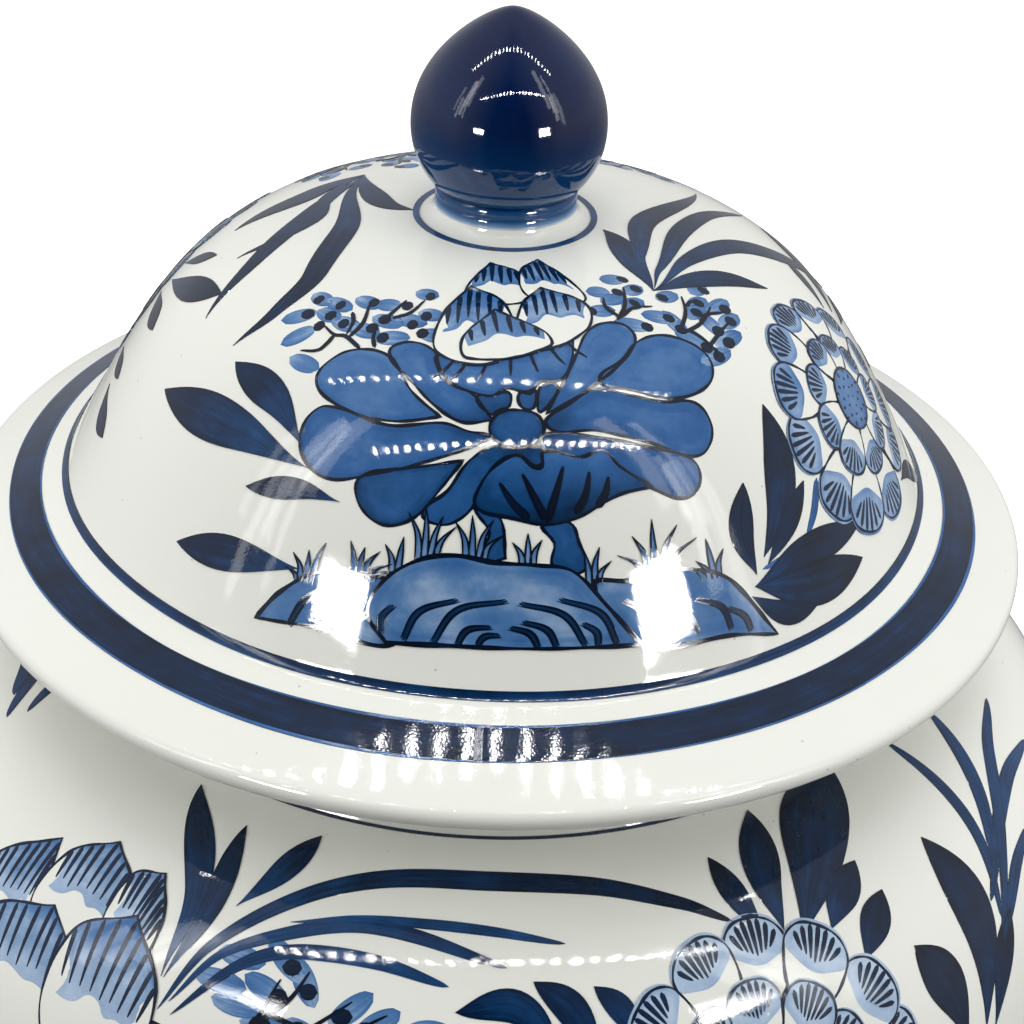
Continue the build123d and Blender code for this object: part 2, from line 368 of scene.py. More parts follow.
class Painter:
    """Gathers painted shapes as thin closed flakes of colour, bedded in the glaze of one skin."""

    def __init__(self, name, skin, body):
        self.name, self.skin, self.body = name, skin, body
        self.verts, self.normals, self.faces, self.ink, self.brush = [], [], [], [], []
        self.count = 0
        self.random = random.Random(name)

    def flake(self, board, points, cells, rims, lift, ink, along, across):
        """One flake from flat cells; rims are the pairs of points along its edges, anticlockwise."""
        size = len(points)
        azimuth, down = board.to_skin(points)
        seed = self.random.uniform(0, 50)
        for height in (lift, -SINK):
            place, normal = self.skin.lay(azimuth, down, height)
            self.verts.append(place)
            self.normals.append(normal)
            self.ink.append(np.broadcast_to(ink, size))
            self.brush.append(np.stack([along, across, np.full(size, seed)], axis=1))
        top = self.count
        under = top + size
        for cell in cells:
            self.faces.append([top + i for i in cell])
            self.faces.append([under + i for i in reversed(cell)])
        for a, b in rims:
            self.faces.append([top + b, top + a, under + a, under + b])
        self.count += 2 * size

    def stroke(self, board, line, width, ink, lift=MARK, closed=False):
        """A brush stroke along a line, with a width and an ink for each point or for all."""
        line = np.asarray(line, float)
        size = len(line)
        width = np.maximum(np.broadcast_to(width, size), THINNEST)
        ink = np.broadcast_to(ink, size)
        stretch = board.stretch(line)
        if closed:
            run = np.roll(line, -1, axis=0) - np.roll(line, 1, axis=0)
        else:
            run = np.gradient(line, axis=0)
        run = run * np.stack([stretch, np.ones(size)], axis=1)
        run /= np.linalg.norm(run, axis=1)[:, None] + 1e-9
        left = np.stack([-run[:, 1] / stretch, run[:, 0]], axis=1)
        lanes = max(2, int(math.ceil(width.max() / GRAIN)) + 1)
        offset = np.linspace(-1, 1, lanes)
        aside = 0.5 * offset[None, :, None] * width[:, None, None] * left[:, None, :]
        points = (line[:, None, :] + aside).reshape(-1, 2)
        along = np.r_[0, np.cumsum(np.linalg.norm(np.diff(line, axis=0), axis=1))]
        cells, rims = ribbon(size, lanes, closed)
        ink, along, across = np.repeat(ink, lanes), np.repeat(along, lanes), np.tile(offset, size)
        self.flake(board, points, cells, rims, lift, ink, along, across)

    def pool(self, board, outline, ink, lift=WASH):
        """A filled shape inside a closed line; its colour gathers a little at the edge."""
        outline = np.asarray(outline, float)
        ahead = np.roll(outline, -1, axis=0)
        if np.sum(outline[:, 0] * ahead[:, 1] - outline[:, 1] * ahead[:, 0]) < 0:
            outline = outline[::-1]
            ahead = np.roll(outline, -1, axis=0)
        grid, gap = filling(outline, ahead)
        size = len(outline)
        seeds = [Vector(p) for p in np.vstack([outline, grid])]
        edges = [(i, (i + 1) % size) for i in range(size)]
        points, _, cells, origin, _, _ = delaunay_2d_cdt(seeds, edges, [], 1, 1e-5)
        points = np.array([tuple(p) for p in points])
        depth = np.r_[np.zeros(size), gap]
        depth = np.array([depth[o[0]] if o else 0.0 for o in origin])
        borders = set(around(*cells))
        rims = [pair for pair in borders if pair[::-1] not in borders]
        tone = ink(points) if callable(ink) else np.full(len(points), float(ink))
        across = 1 - 0.25 * np.clip(depth / POOL_EDGE, 0, 1)
        self.flake(board, points, cells, sorted(rims), lift, tone, points[:, 1], across)

    def ring(self, start, end, ink, lift=MARK, waver=0.0, count=400):
        """A band all the way round, between two distances down the skin.

        ink is one depth of colour, or one for each lane across the band.
        """
        board = Board(self.skin, 0.0, (start + end) / 2)
        turn = np.linspace(0, 2 * math.pi, count, endpoint=False)
        x = turn * board.girth
        waves = [(self.random.randint(2, 9), self.random.uniform(0, 6.28)) for _ in range(4)]
        wander = sum(np.sin(n * turn + phase) for n, phase in waves) * waver / 4
        lanes = len(ink) if np.ndim(ink) else max(3, int((end - start) / GRAIN) + 2)
        offset = np.linspace(-1, 1, lanes)
        y = wander[:, None] + offset[None, :] * (end - start) / 2
        along, across = np.repeat(x, lanes), np.tile(offset, count)
        points = np.stack([along, y.ravel()], axis=1)
        cells, rims = ribbon(count, lanes, closed=True)
        tone = np.tile(np.broadcast_to(ink, lanes), count)
        self.flake(board, points, cells, rims, lift, tone, along, across)

    def finish(self, material):
        """Makes the piece: one mesh, with the glaze's own normals so that its gloss runs on."""
        mesh = bpy.data.meshes.new(self.name)
        mesh.from_pydata(np.vstack(self.verts), [], self.faces)
        mesh.shade_smooth()
        ink = mesh.attributes.new("ink", "FLOAT", "POINT")
        ink.data.foreach_set("value", np.concatenate(self.ink).astype(np.float32))
        brush = mesh.attributes.new("brush", "FLOAT_VECTOR", "POINT")
        brush.data.foreach_set("vector", np.vstack(self.brush).astype(np.float32).ravel())
        mesh.normals_split_custom_set_from_vertices(np.vstack(self.normals).tolist())
        mesh.materials.append(material)
        piece = bpy.data.objects.new(self.name, mesh)
        bpy.context.scene.collection.objects.link(piece)
        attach(piece, self.body)
        print(f"{self.name}: {len(self.faces)} faces")
        return piece


# ---- materials ------------------------------------------------------------------------------------
def linear(red, green, blue):
    """A colour given in 0-255 display values, as Blender's linear colour."""
    shares = (red / 255, green / 255, blue / 255)
    return (*[s / 12.92 if s <= 0.04 else ((s + 0.055) / 1.055) ** 2.4 for s in shares], 1.0)


class Nodes:
    """The nodes of a material or of the world, made one call at a time."""

    def __init__(self, tree):
        self.nodes, self.links = tree.nodes, tree.links

    def add(self, kind, inputs=(), **settings):
        node = self.nodes.new(kind)
        for key, value in settings.items():
            setattr(node, key, value)
        for key, value in dict(inputs).items():
            self.put(node.inputs[key], value)
        return node

    def put(self, socket, value):
        if isinstance(value, bpy.types.NodeSocket):
            self.links.new(value, socket)
        else:
            socket.default_value = value

    def calc(self, kind, *values):
        return self.add("ShaderNodeMath", dict(enumerate(values)), operation=kind).outputs[0]

    def rescale(self, value, low, high):
        """A value that runs from low[0] to low[1], made to run from high[0] to high[1]."""
        inputs = {"Value": value, 1: low[0], 2: low[1], 3: high[0], 4: high[1]}
        return self.add("ShaderNodeMapRange", inputs).outputs["Result"]


class Recipe(Nodes):
    """A material's nodes, placed by the object's own coordinates."""

    def __init__(self, name):
        self.material = bpy.data.materials.new(name)
        self.material.use_nodes = True
        super().__init__(self.material.node_tree)
        self.shader = self.nodes["Principled BSDF"]
        self.place = self.add("ShaderNodeTexCoord").outputs["Object"]

    def set(self, name, value):
        self.put(self.shader.inputs[name], value)

    def attribute(self, name, output):
        return self.add("ShaderNodeAttribute", attribute_name=name).outputs[output]

    def noise(self, scale, detail=2.0, vector=None, rough=0.5):
        inputs = {"Vector": vector or self.place, "Scale": scale, "Detail": detail, "Roughness": rough}
        return self.add("ShaderNodeTexNoise", inputs).outputs["Fac"]

    def swing(self, value, depth):
        """A noise's swing about its middle, made depth deep."""
        return self.calc("MULTIPLY", self.calc("SUBTRACT", value, 0.5), depth)

    def ramp(self, value, stops):
        node = self.add("ShaderNodeValToRGB", {"Fac": value})
        for element, (at, colour) in zip(node.color_ramp.elements, (stops[0], stops[-1])):
            element.position, element.color = at, colour
        for at, colour in stops[1:-1]:
            node.color_ramp.elements.new(at).color = colour
        return node.outputs["Color"]

    def mix(self, share, a, b):
        inputs = {"Factor": share, 6: a, 7: b}
        return self.add("ShaderNodeMix", inputs, data_type="RGBA", blend_type="MIX").outputs[2]

    def bump(self, relief, strength, distance):
        inputs = {"Height": relief, "Strength": strength, "Distance": distance}
        self.set("Normal", self.add("ShaderNodeBump", inputs).outputs["Normal"])


BARE_GLAZE = linear(234, 235, 227)
GLAZE_CLOUDS = [(0.35, linear(232, 233, 225)), (0.65, linear(236, 237, 230))]
GLAZE_IOR = 1.52
GLAZE_ROUGHNESS = (0.03, 0.06)
PEEL_SCALE = 2400.0        # fine dimples of the glaze, per metre
PEEL_DEPTH = 0.0000036     # in metres
SWELL = 9.0                # height of the broad swell of the glaze, against its dimples
SWELL_WIDTH = 14           # its width, against theirs
STREAK_RELIEF = 1.5        # height of the brush's streaks, against the dimples

SPECK_SCALE, SPECK_SIZE = 330.0, 0.075   # pinhole specks, per metre, and as a share of their cells
SPECK_RARITY, SPECK_DEPTH = 0.66, 0.45
SPECK = linear(120, 122, 118)

# Depth of colour of the cobalt: 0 is bare glaze, 1 is the near-black of a loaded brush.
COBALT = [
    (0.00, BARE_GLAZE),
    (0.20, linear(172, 193, 217)),
    (0.38, linear(84, 124, 172)),
    (0.52, linear(42, 92, 150)),
    (0.68, linear(14, 61, 108)),
    (0.84, linear(5, 33, 65)),
    (1.00, linear(4, 13, 28)),
]
STREAK_GRAIN = (0.05, 3.2, 1.0)          # along the stroke, across it and from stroke to stroke
STREAK_DEPTH, CLOUD_DEPTH, EDGE_DEPTH = 0.34, 0.30, 0.07
STREAKY_INK, STREAKY_SHARE = (0.0, 0.25), (0.1, 1.0)   # pale washes are more even than dark ones

KNOB_COBALT = [
    (0.00, BARE_GLAZE),
    (0.25, linear(110, 145, 184)),
    (0.50, linear(36, 80, 128)),
    (0.75, linear(4, 56, 104)),
    (1.00, linear(0, 20, 64)),
]
KNOB_CLOUD_DEPTH = 0.22

BARE_STAIN = [(0.3, linear(214, 207, 192)), (0.7, linear(232, 228, 217))]
TURNING_SCALE, TURNING_SHARE = 7000.0, 0.25            # fine lines left by the potter's tool


def glaze_surface(recipe, *streak):
    """The gloss that every glazed surface shares: a wet shine, gently dimpled like orange peel."""
    dimples = recipe.noise(PEEL_SCALE, detail=0.0)
    for relief in streak:
        dimples = recipe.calc("ADD", dimples, relief)
    swell = recipe.noise(PEEL_SCALE / SWELL_WIDTH, detail=1.0)
    relief = recipe.calc("ADD", dimples, recipe.calc("MULTIPLY", swell, SWELL))
    recipe.bump(relief, 1.0, PEEL_DEPTH)
    recipe.set("IOR", GLAZE_IOR)
    smear = recipe.noise(14.0, detail=3.0)
    recipe.set("Roughness", recipe.rescale(smear, (0.3, 0.7), GLAZE_ROUGHNESS))


def white_glaze():
    """Milky porcelain glaze: a trace of green-grey clouds, and the odd pinhole speck."""
    recipe = Recipe("white_glaze")
    tint = recipe.ramp(recipe.noise(9.0, detail=4.0), GLAZE_CLOUDS)
    cells = recipe.add("ShaderNodeTexVoronoi", {"Vector": recipe.place, "Scale": SPECK_SCALE})
    speck = recipe.calc("LESS_THAN", cells.outputs["Distance"], SPECK_SIZE)
    chosen = recipe.calc("GREATER_THAN", recipe.noise(120.0, detail=0.0), SPECK_RARITY)
    share = recipe.calc("MULTIPLY", recipe.calc("MULTIPLY", speck, chosen), SPECK_DEPTH)
    recipe.set("Base Color", recipe.mix(share, tint, SPECK))
    glaze_surface(recipe)
    return recipe.material


def cobalt_paint():
    """Brushed cobalt under the glaze: streaks along the stroke, pools at its edges and clouds."""
    recipe = Recipe("cobalt_paint")
    ink = recipe.attribute("ink", "Fac")
    brush = recipe.attribute("brush", "Vector")
    stretch = recipe.add("ShaderNodeVectorMath", {0: brush, 1: STREAK_GRAIN}, operation="MULTIPLY")
    streak = recipe.noise(1.0, detail=3.0, vector=stretch.outputs[0], rough=0.7)
    cloud = recipe.noise(130.0, detail=4.0, rough=0.6)
    across = recipe.add("ShaderNodeSeparateXYZ", {0: brush}).outputs["Y"]
    edge = recipe.calc("POWER", recipe.calc("ABSOLUTE", across), 5.0)
    pooled = recipe.calc("MULTIPLY", edge, EDGE_DEPTH)
    uneven = recipe.calc("ADD", recipe.swing(streak, STREAK_DEPTH), recipe.swing(cloud, CLOUD_DEPTH))
    change = recipe.calc("ADD", uneven, pooled)
    share = recipe.rescale(ink, STREAKY_INK, STREAKY_SHARE)
    depth = recipe.calc("ADD", ink, recipe.calc("MULTIPLY", change, share))
    recipe.set("Base Color", recipe.ramp(depth, COBALT))
    glaze_surface(recipe, recipe.calc("MULTIPLY", streak, STREAK_RELIEF))
    return recipe.material


def cobalt_glaze():
    """The knob's thick cobalt glaze, deep and even, thinner on its collar."""
    recipe = Recipe("cobalt_glaze")
    cloud = recipe.noise(45.0, detail=4.0, rough=0.6)
    depth = recipe.calc("ADD", recipe.attribute("ink", "Fac"), recipe.swing(cloud, KNOB_CLOUD_DEPTH))
    recipe.set("Base Color", recipe.ramp(depth, KNOB_COBALT))
    glaze_surface(recipe)
    return recipe.material


def bare_porcelain():
    """Unglazed porcelain on the foot and the collar: matt, fine-grained, with turning lines."""
    recipe = Recipe("bare_porcelain")
    recipe.set("Base Color", recipe.ramp(recipe.noise(26.0, detail=5.0), BARE_STAIN))
    height = recipe.add("ShaderNodeSeparateXYZ", {0: recipe.place}).outputs["Z"]
    turning = recipe.calc("SINE", recipe.calc("MULTIPLY", height, TURNING_SCALE))
    grain = recipe.noise(2200.0, detail=3.0)
    relief = recipe.calc("ADD", grain, recipe.calc("MULTIPLY", turning, TURNING_SHARE))
    recipe.bump(relief, 0.6, 0.0001)
    recipe.set("Roughness", 0.78)
    return recipe.material


WHITE = white_glaze()
PAINT = cobalt_paint()
BLUE = cobalt_glaze()
BARE = bare_porcelain()


# ---- the six turned pieces ------------------------------------------------------------------------
def jar_profile():
    """The jar's body: down the outside, in under the floor, then up the inside to the neck."""
    floor_top = FOOT_HEIGHT + FLOOR
    inner_foot = FOOT_TOP_RADIUS - WALL
    inside = jar_wall(WALL, NECK_INNER_RADIUS, floor_top + WALL)[::-1]
    return joined(
        straight((NECK_INNER_RADIUS, SHOULDER_HEIGHT), (NECK_RADIUS + NECK_ROOT, SHOULDER_HEIGHT), 3),
        jar_wall(0, NECK_RADIUS + NECK_ROOT, FOOT_HEIGHT),
        straight((FOOT_TOP_RADIUS, FOOT_HEIGHT), (0, FOOT_HEIGHT)),
        straight((0, floor_top), (inner_foot - WALL, floor_top)),
        straight((inner_foot - WALL, floor_top), inside[0], 3),
        inside,
    )


def neck_profile():
    """The neck: up its inside, over the round rim and down to its flared root."""
    top = SEAT_HEIGHT - SEAT_CLEARANCE
    root = (NECK_RADIUS + NECK_ROOT, SHOULDER_HEIGHT)
    shaft = (NECK_RADIUS, SHOULDER_HEIGHT + 4 * NECK_ROOT)
    turn = RIM_ROUND
    return joined(
        straight((NECK_INNER_RADIUS, SHOULDER_HEIGHT), (NECK_INNER_RADIUS, top - turn), 6),
        arc((NECK_INNER_RADIUS + turn, top - turn), turn, 180, 90, 8),
        arc((NECK_RADIUS - turn, top - turn), turn, 90, 0, 8),
        straight((NECK_RADIUS, top - turn), shaft, 6),
        bezier(shaft, (NECK_RADIUS, SHOULDER_HEIGHT + NECK_ROOT), root, count=8),
    )


def ring_profile(inner, top_outer, outer, low, high, chamfer):
    """A ring with both lower edges broken, whose outside may flare from top_outer to outer."""
    corners = [
        (inner, high),
        (top_outer, high),
        (outer, low + chamfer),
        (outer - chamfer, low),
        (inner + chamfer, low),
        (inner, low + chamfer),
        (inner, high),
    ]
    counts = (3, 6, 2, 3, 2, 6)
    return joined(*map(straight, corners, corners[1:], counts))[:-1]


# Each step: its height over the knob's seat, and the depth of colour there.
KNOB_INKS = [
    (0.0, 0.06), (0.6, 0.22), (1.4, 0.46), (2.2, 0.68), (2.9, 0.52), (3.6, 0.64), (4.1, 0.92),
    (4.8, 0.68), (7.6, 0.72), (13.6, 0.84), (20.6, 0.97), (39.0, 0.99),
]


def knob_ink(height):
    """The knob's colour: deep on the bud, with a dark line and a fading band on its collar."""
    return np.interp(height - KNOB_SEAT[1], *zip(*KNOB_INKS))


def turned_pieces():
    """Every solid piece, in the place of its plain one."""
    lid = joined(straight((0, KNOB_SEAT[1]), KNOB_SEAT, 4), lid_outside(), lid_underside())
    knob = joined(knob_outside(), straight(KNOB_SEAT, (0, KNOB_SEAT[1]), 3))
    foot = ring_profile(FOOT_INNER_RADIUS, FOOT_TOP_RADIUS, FOOT_RADIUS, 0, FOOT_HEIGHT, FOOT_CHAMFER)
    collar = ring_profile(
        COLLAR_RADIUS - COLLAR_WALL,
        COLLAR_RADIUS,
        COLLAR_RADIUS,
        SEAT_HEIGHT - COLLAR_DEPTH,
        SEAT_HEIGHT,
        COLLAR_CHAMFER,
    )
    turned_piece("jar_body_glazed", jar_profile(), WHITE, "jar", "jar_body")
    turned_piece("jar_neck_glazed", neck_profile(), WHITE, "jar", "neck_ring")
    turned_piece("jar_foot_bare", foot, BARE, "jar", "foot_ring")
    turned_piece("lid_dome_glazed", lid, WHITE, "lid", "lid_shell")
    turned_piece("lid_collar_bare", collar, BARE, "lid", "lid_collar")
    turned_piece("knob_bud_glazed", knob, BLUE, "lid", "knob", ink=knob_ink(knob[:, 1]))


turned_pieces()

LID_SKIN = Skin(lid_outside())
JAR_SKIN = Skin(jar_wall(0, NECK_RADIUS + NECK_ROOT, FOOT_HEIGHT))


def painted(name, skin, draw, *where):
    """Makes one piece of decoration: draw puts its strokes on."""
    paint = Painter(name, skin, "lid" if skin is LID_SKIN else "jar")
    draw(paint, *where)
    paint.finish(PAINT)


# ---- brush work shared by every motif ---------------------------------------------------------------
LINE = 0.97                # ink of the dark outlines
PETAL_LINE, STRIPE = 0.93, 0.88          # ink of the outlines and the stripes of petals
FILL, FOLD, DISC = 0.50, 0.62, 0.60      # ink of the great leaf, of its fold and of its middle
STEM = 0.56                # ink of the lotus's stems
PALE = 0.25                # ink of the wash on petals
CREASE = 0.80              # ink in the creases of rocks


def taper(count, widest=0.5, blunt=0.8):
    """The width of a pointed stroke along its length, at its most where the share is widest."""
    t = np.linspace(0, 1, count)
    return np.sin(np.pi * t ** (math.log(0.5) / math.log(widest))) ** blunt


def patch(paint, board, corners, ink, line=0.55, line_ink=LINE, lift=WASH):
    """A washed shape with a dark outline of uneven width."""
    outline = smooth(corners, closed=True, step=0.8)
    paint.pool(board, outline, ink, lift)
    if line:
        turn = np.linspace(0, 2 * math.pi, len(outline), endpoint=False)
        phase = paint.random.uniform(0, 6.28)
        uneven = 1 + 0.22 * np.sin(3 * turn + phase) + 0.18 * np.sin(11 * turn + 2 * phase)
        paint.stroke(board, outline, line * uneven, line_ink, lift + 2 * COAT, closed=True)


def leaf(paint, board, line, width, inks=(0.72, 0.90), widest=0.6, lift=MARK, blunt=0.9):
    """A leaf made with one press of the brush, from its stalk to its point."""
    line = smooth(line, step=1.0)
    ink = np.linspace(*inks, len(line))
    paint.stroke(board, line, width * taper(len(line), widest, blunt), ink, lift)


def leaves(paint, board, blades, inks, widest=0.6, blunt=0.9):
    """Several leaves, each a (line, width)."""
    for line, width in blades:
        leaf(paint, board, line, width, inks, widest, blunt=blunt)


def mark(paint, board, line, width=0.55, ink=LINE, lift=MARK, widest=0.4):
    """A short dark line that starts full and ends in a point."""
    line = smooth(line, step=0.7)
    paint.stroke(board, line, width * (0.25 + 0.75 * taper(len(line), widest, 0.6)), ink, lift)


def towards(a, b, share):
    """The point at a share of the way from a to b."""
    return tuple(np.array(a, float) + share * (np.array(b, float) - np.array(a, float)))


def bud_petal(paint, board, tip, left, right, foot, stripes=6, lift=RESERVE, wash=PALE):
    """A white petal with a pointed top, a wash over its upper part, and stripes down from its rim.

    left and right are the widest points of its edge, and foot its lowest ones, left then right.
    """
    corners = [tip, tip, left, foot[0], foot[1], right]
    outline = smooth(corners, closed=True, step=0.8)
    patch(paint, board, corners, 0.0, line=0.5, line_ink=PETAL_LINE, lift=lift)
    last = np.linalg.norm(outline - np.array(left), axis=1).argmin()
    first = np.linalg.norm(outline - np.array(right), axis=1).argmin()
    rim = np.vstack([outline[first:], outline[:last + 1]])

    def down(share, reach):
        """A point inside the petal, at a share along its rim and a reach from the rim to its foot."""
        start = rim[int(round(share * (len(rim) - 1)))]
        return start + reach * (np.array(towards(foot[1], foot[0], share)) - start)

    hem = [down(share, 0.58 + 0.04 * math.cos(16 * share)) for share in np.linspace(0.96, 0.04, 9)]
    shaded = np.vstack([rim, smooth(hem)])
    paint.pool(board, shaded, lambda p: wash + 0.012 * (p[:, 1] - hem[4][1]), lift + COAT)
    for i in range(stripes):
        share = (i + 0.6) / (stripes + 0.2)
        reach = 0.36 + 0.18 * math.sin(math.pi * share) + paint.random.uniform(-0.04, 0.04)
        line = [down(share, 0.01), down(share, reach / 2), down(share, reach)]
        mark(paint, board, line, 0.95, ink=STRIPE, lift=lift + 3 * COAT, widest=0.22)


def dab(paint, board, middle, reach, width, inks, lift):
    """A short oval touch of the brush."""
    leaf(paint, board, [middle - reach, middle, middle + reach], width, inks, 0.5, lift, 0.45)


def spray(paint, board, twigs, berries, size=1.0):
    """Berries on dark forked twigs: each is a pale oval dab of the brush with a dark drop on it."""
    level = np.array((1.0, 0.0))
    for oval, drop in berries:
        lean = level if drop is None else np.array(oval, float) - drop
        lean = level if np.linalg.norm(lean) < 1.5 else lean / np.linalg.norm(lean)
        reach = size * paint.random.uniform(3.6, 4.6) * lean
        dab(paint, board, np.array(oval), reach, 3.5 * size, (0.30, 0.46), WASH)
        if drop is not None:
            half = size * paint.random.uniform(1.3, 1.8) * np.array((1.0, 0.15))
            dab(paint, board, np.array(drop), half, 2.5 * size, (0.90, 0.95), SHADE)
    for twig in twigs:
        mark(paint, board, twig, 0.85 * size, widest=0.25)


def tuft(paint, board, root, blades):
    """A tuft of grass: each blade, an (x, height) from the root, is a wash between two thin lines."""
    for x, height in blades:
        foot = np.array(root, float) + (0.35 * x, -0.4)
        tip = np.array(root, float) + (1.15 * x, height)
        half = (foot + tip) / 2 + (-0.2 * x, 0.08 * height)
        leaf(paint, board, [foot, half, tip], 1.1, inks=(0.32, 0.5), widest=0.25, lift=SHADE)
        for side in (-0.5, 0.5):
            mark(paint, board, [foot + (side, 0), half + (0.7 * side, 0), tip], 0.34, widest=0.5)


def rock(paint, board, outline, creases, wash=0.36, lift=WASH):
    """A rock: blue wash, a dark outline, and creases drawn as pairs of lines.

    Each crease is its foot, its top and how far it bows to the left.
    """
    def tone(p):
        return wash + 0.05 * np.sin(0.45 * p[:, 0] + 0.3 * p[:, 1])

    patch(paint, board, outline, tone, line=0.75, lift=lift)
    for foot, top, bow in creases:
        foot, top = np.array(foot, float), np.array(top, float)
        left = np.array([-(top - foot)[1], (top - foot)[0]])
        crease = [foot, (foot + top) / 2 + bow * left, top]
        mark(paint, board, crease, 1.25, ink=CREASE, lift=lift + COAT, widest=0.4)
        side = 0.42 * left / np.linalg.norm(left)
        for way in (-1, 1):
            line = [p + way * side for p in crease]
            mark(paint, board, line, 0.46, lift=lift + 3 * COAT, widest=0.4)


# ---- the lotus scene on the lid ---------------------------------------------------------------------
# Outlines are in mm about the middle of the great leaf, each lobe's after its depth of colour. A point
# given twice is a sharp corner.
LOBES = [
    (0.42, [
        (-39, 3), (-37.5, 9), (-32, 11.8), (-26, 11), (-20, 5.5), (-13.5, 1.4), (-13.5, 1.4), (-22, -0.8),
        (-32, -0.4),
    ]),
    (0.47, [
        (-27.5, 12.5), (-24, 15.5), (-18, 14.4), (-15.5, 10.5), (-12, 7.8), (-8, 6.2), (-4.2, 1.6),
        (-4.2, 1.6), (-9.5, 0.8), (-15, 3.4), (-20, 7),
    ]),
    (0.50, [
        (-34.5, -1), (-37.2, -5), (-35.5, -10.5), (-30, -13.3), (-23, -10.8), (-13, -6.2), (-4.8, -2),
        (-4.8, -1.2), (-8, -0.8), (-13, 0.3), (-22, -1.6),
    ]),
    (0.58, [
        (-24.5, -11.5), (-24, -16), (-19.5, -19), (-15, -16.8), (-11.5, -11), (-8.6, -6), (-8.6, -6),
        (-16, -8.2),
    ]),
    (0.56, [
        (-14, -16), (-11, -17.6), (-8, -16), (-5.8, -12.6), (-3.4, -6.4), (0.4, -4.6), (3.6, -6.6),
        (4.6, -3.6), (2.6, -3), (-3, -2.8), (-7.6, -6), (-10.6, -11.6),
    ]),
    (0.53, [
        (4.9, -0.9), (14, -2), (24, -5.6), (30, -9), (30.2, -13), (27, -15.2), (22, -12.5), (17.5, -8.4),
        (14.4, -4.8), (9.6, -5.4), (5, -4),
    ]),
    (0.52, [
        (5.4, 0.6), (10, 4.6), (16, 7), (22, 5), (28, 2.6), (34.5, 0.8), (35.8, -4), (33, -8),
        (29.6, -8.2), (23, -4.2), (14, -0.8),
    ]),
    (0.46, [
        (29, 15.4), (36, 15.6), (41.5, 12), (43, 7.5), (39.5, 3.4), (31, 2.6), (22, 6.2), (17, 8.6),
        (23, 12),
    ]),
    (0.46, [
        (18, 19.4), (23, 21.3), (28.5, 20.2), (29.6, 17), (26, 13.4), (16, 8), (5.4, 2.8), (5.4, 2.8),
        (10, 9.5), (14, 15),
    ]),
    (0.50, [
        (-7.4, 5.8), (-4.6, 6.2), (-1.4, 7), (-1.2, 4.4), (-3.2, 3.4), (-4.6, 2.6),
    ]),
    (0.50, [
        (0.6, 6.8), (2.8, 6.8), (3.8, 7.6), (3.2, 4), (1, 4.2),
    ]),
    (0.50, [
        (4.8, 8), (8.2, 8.4), (6.4, 5), (4.4, 3.2), (4, 4.2),
    ]),
]
LEAF_BACK = [
    (-17, 13.5), (-11, 13.4), (-5, 14), (1, 15.4), (8, 17.4), (14.5, 19.3), (14.5, 19.3), (12.4, 13.5),
    (9, 9.4), (5, 9.2), (2.5, 7.2), (-2, 7.8), (-4.5, 6.2), (-8, 6.6), (-13.5, 8.2), (-16, 11),
]
LEAF_FOLD = [
    (-6, -14), (-5.5, -10), (-3.4, -6.8), (0.2, -4.8), (2.8, -6.8), (4.2, -6.8), (4.6, -4), (11, -5.4),
    (14.5, -4.4), (17, -7.6), (21.8, -12), (21.8, -12), (16, -12.6), (9, -16), (4.5, -16.8), (-1, -15.6),
]
LEAF_MIDDLE = [
    (-4.7, 0.3), (-3, 3), (0.2, 3.6), (3.6, 2.8), (4.9, 0.2), (3.4, -2.4), (0.2, -3.2), (-3.2, -2.4),
]
FOLD_VEINS = [
    [(4.6, -16.2), (3, -12.5), (1, -8)],
    [(4.6, -16.4), (6, -12), (7.6, -6.8)],
    [(2, -15.8), (-0.5, -13), (-2.6, -9.6)],
    [(9, -15.2), (10.8, -12), (11.8, -8)],
    [(12.4, -14.4), (14, -12), (14.8, -9.2)],
]
# Each petal: its tip, its left and right, and the two ends of its foot.
PETALS = [
    ((-9.7, 42.2), (-15, 35.5), (4, 38.5), ((-15, 30), (6, 30))),
    ((14.9, 43.6), (4, 39), (21.5, 36.5), ((5, 31), (22.5, 28))),
    ((-14.6, 33.2), (-19.2, 24), (-2.4, 28), ((-16.8, 14), (-1, 15.2))),
    ((10.4, 33.4), (2.4, 27.6), (22, 27), ((2, 17), (18.4, 20.2))),
    ((-5.3, 26.4), (-12.2, 18.6), (7.4, 20.6), ((-10.4, 13.6), (8.4, 17))),
]
STEMS = [
    [(-6, -13.6), (-2.4, -15.6), (-1.4, -22.6), (-1.4, -22.6), (-5.4, -23.4), (-3.8, -18.4)],
    [(4, -16.6), (8, -16.6), (9.2, -20), (9.8, -25), (5.4, -24.2), (5.6, -20)],
]
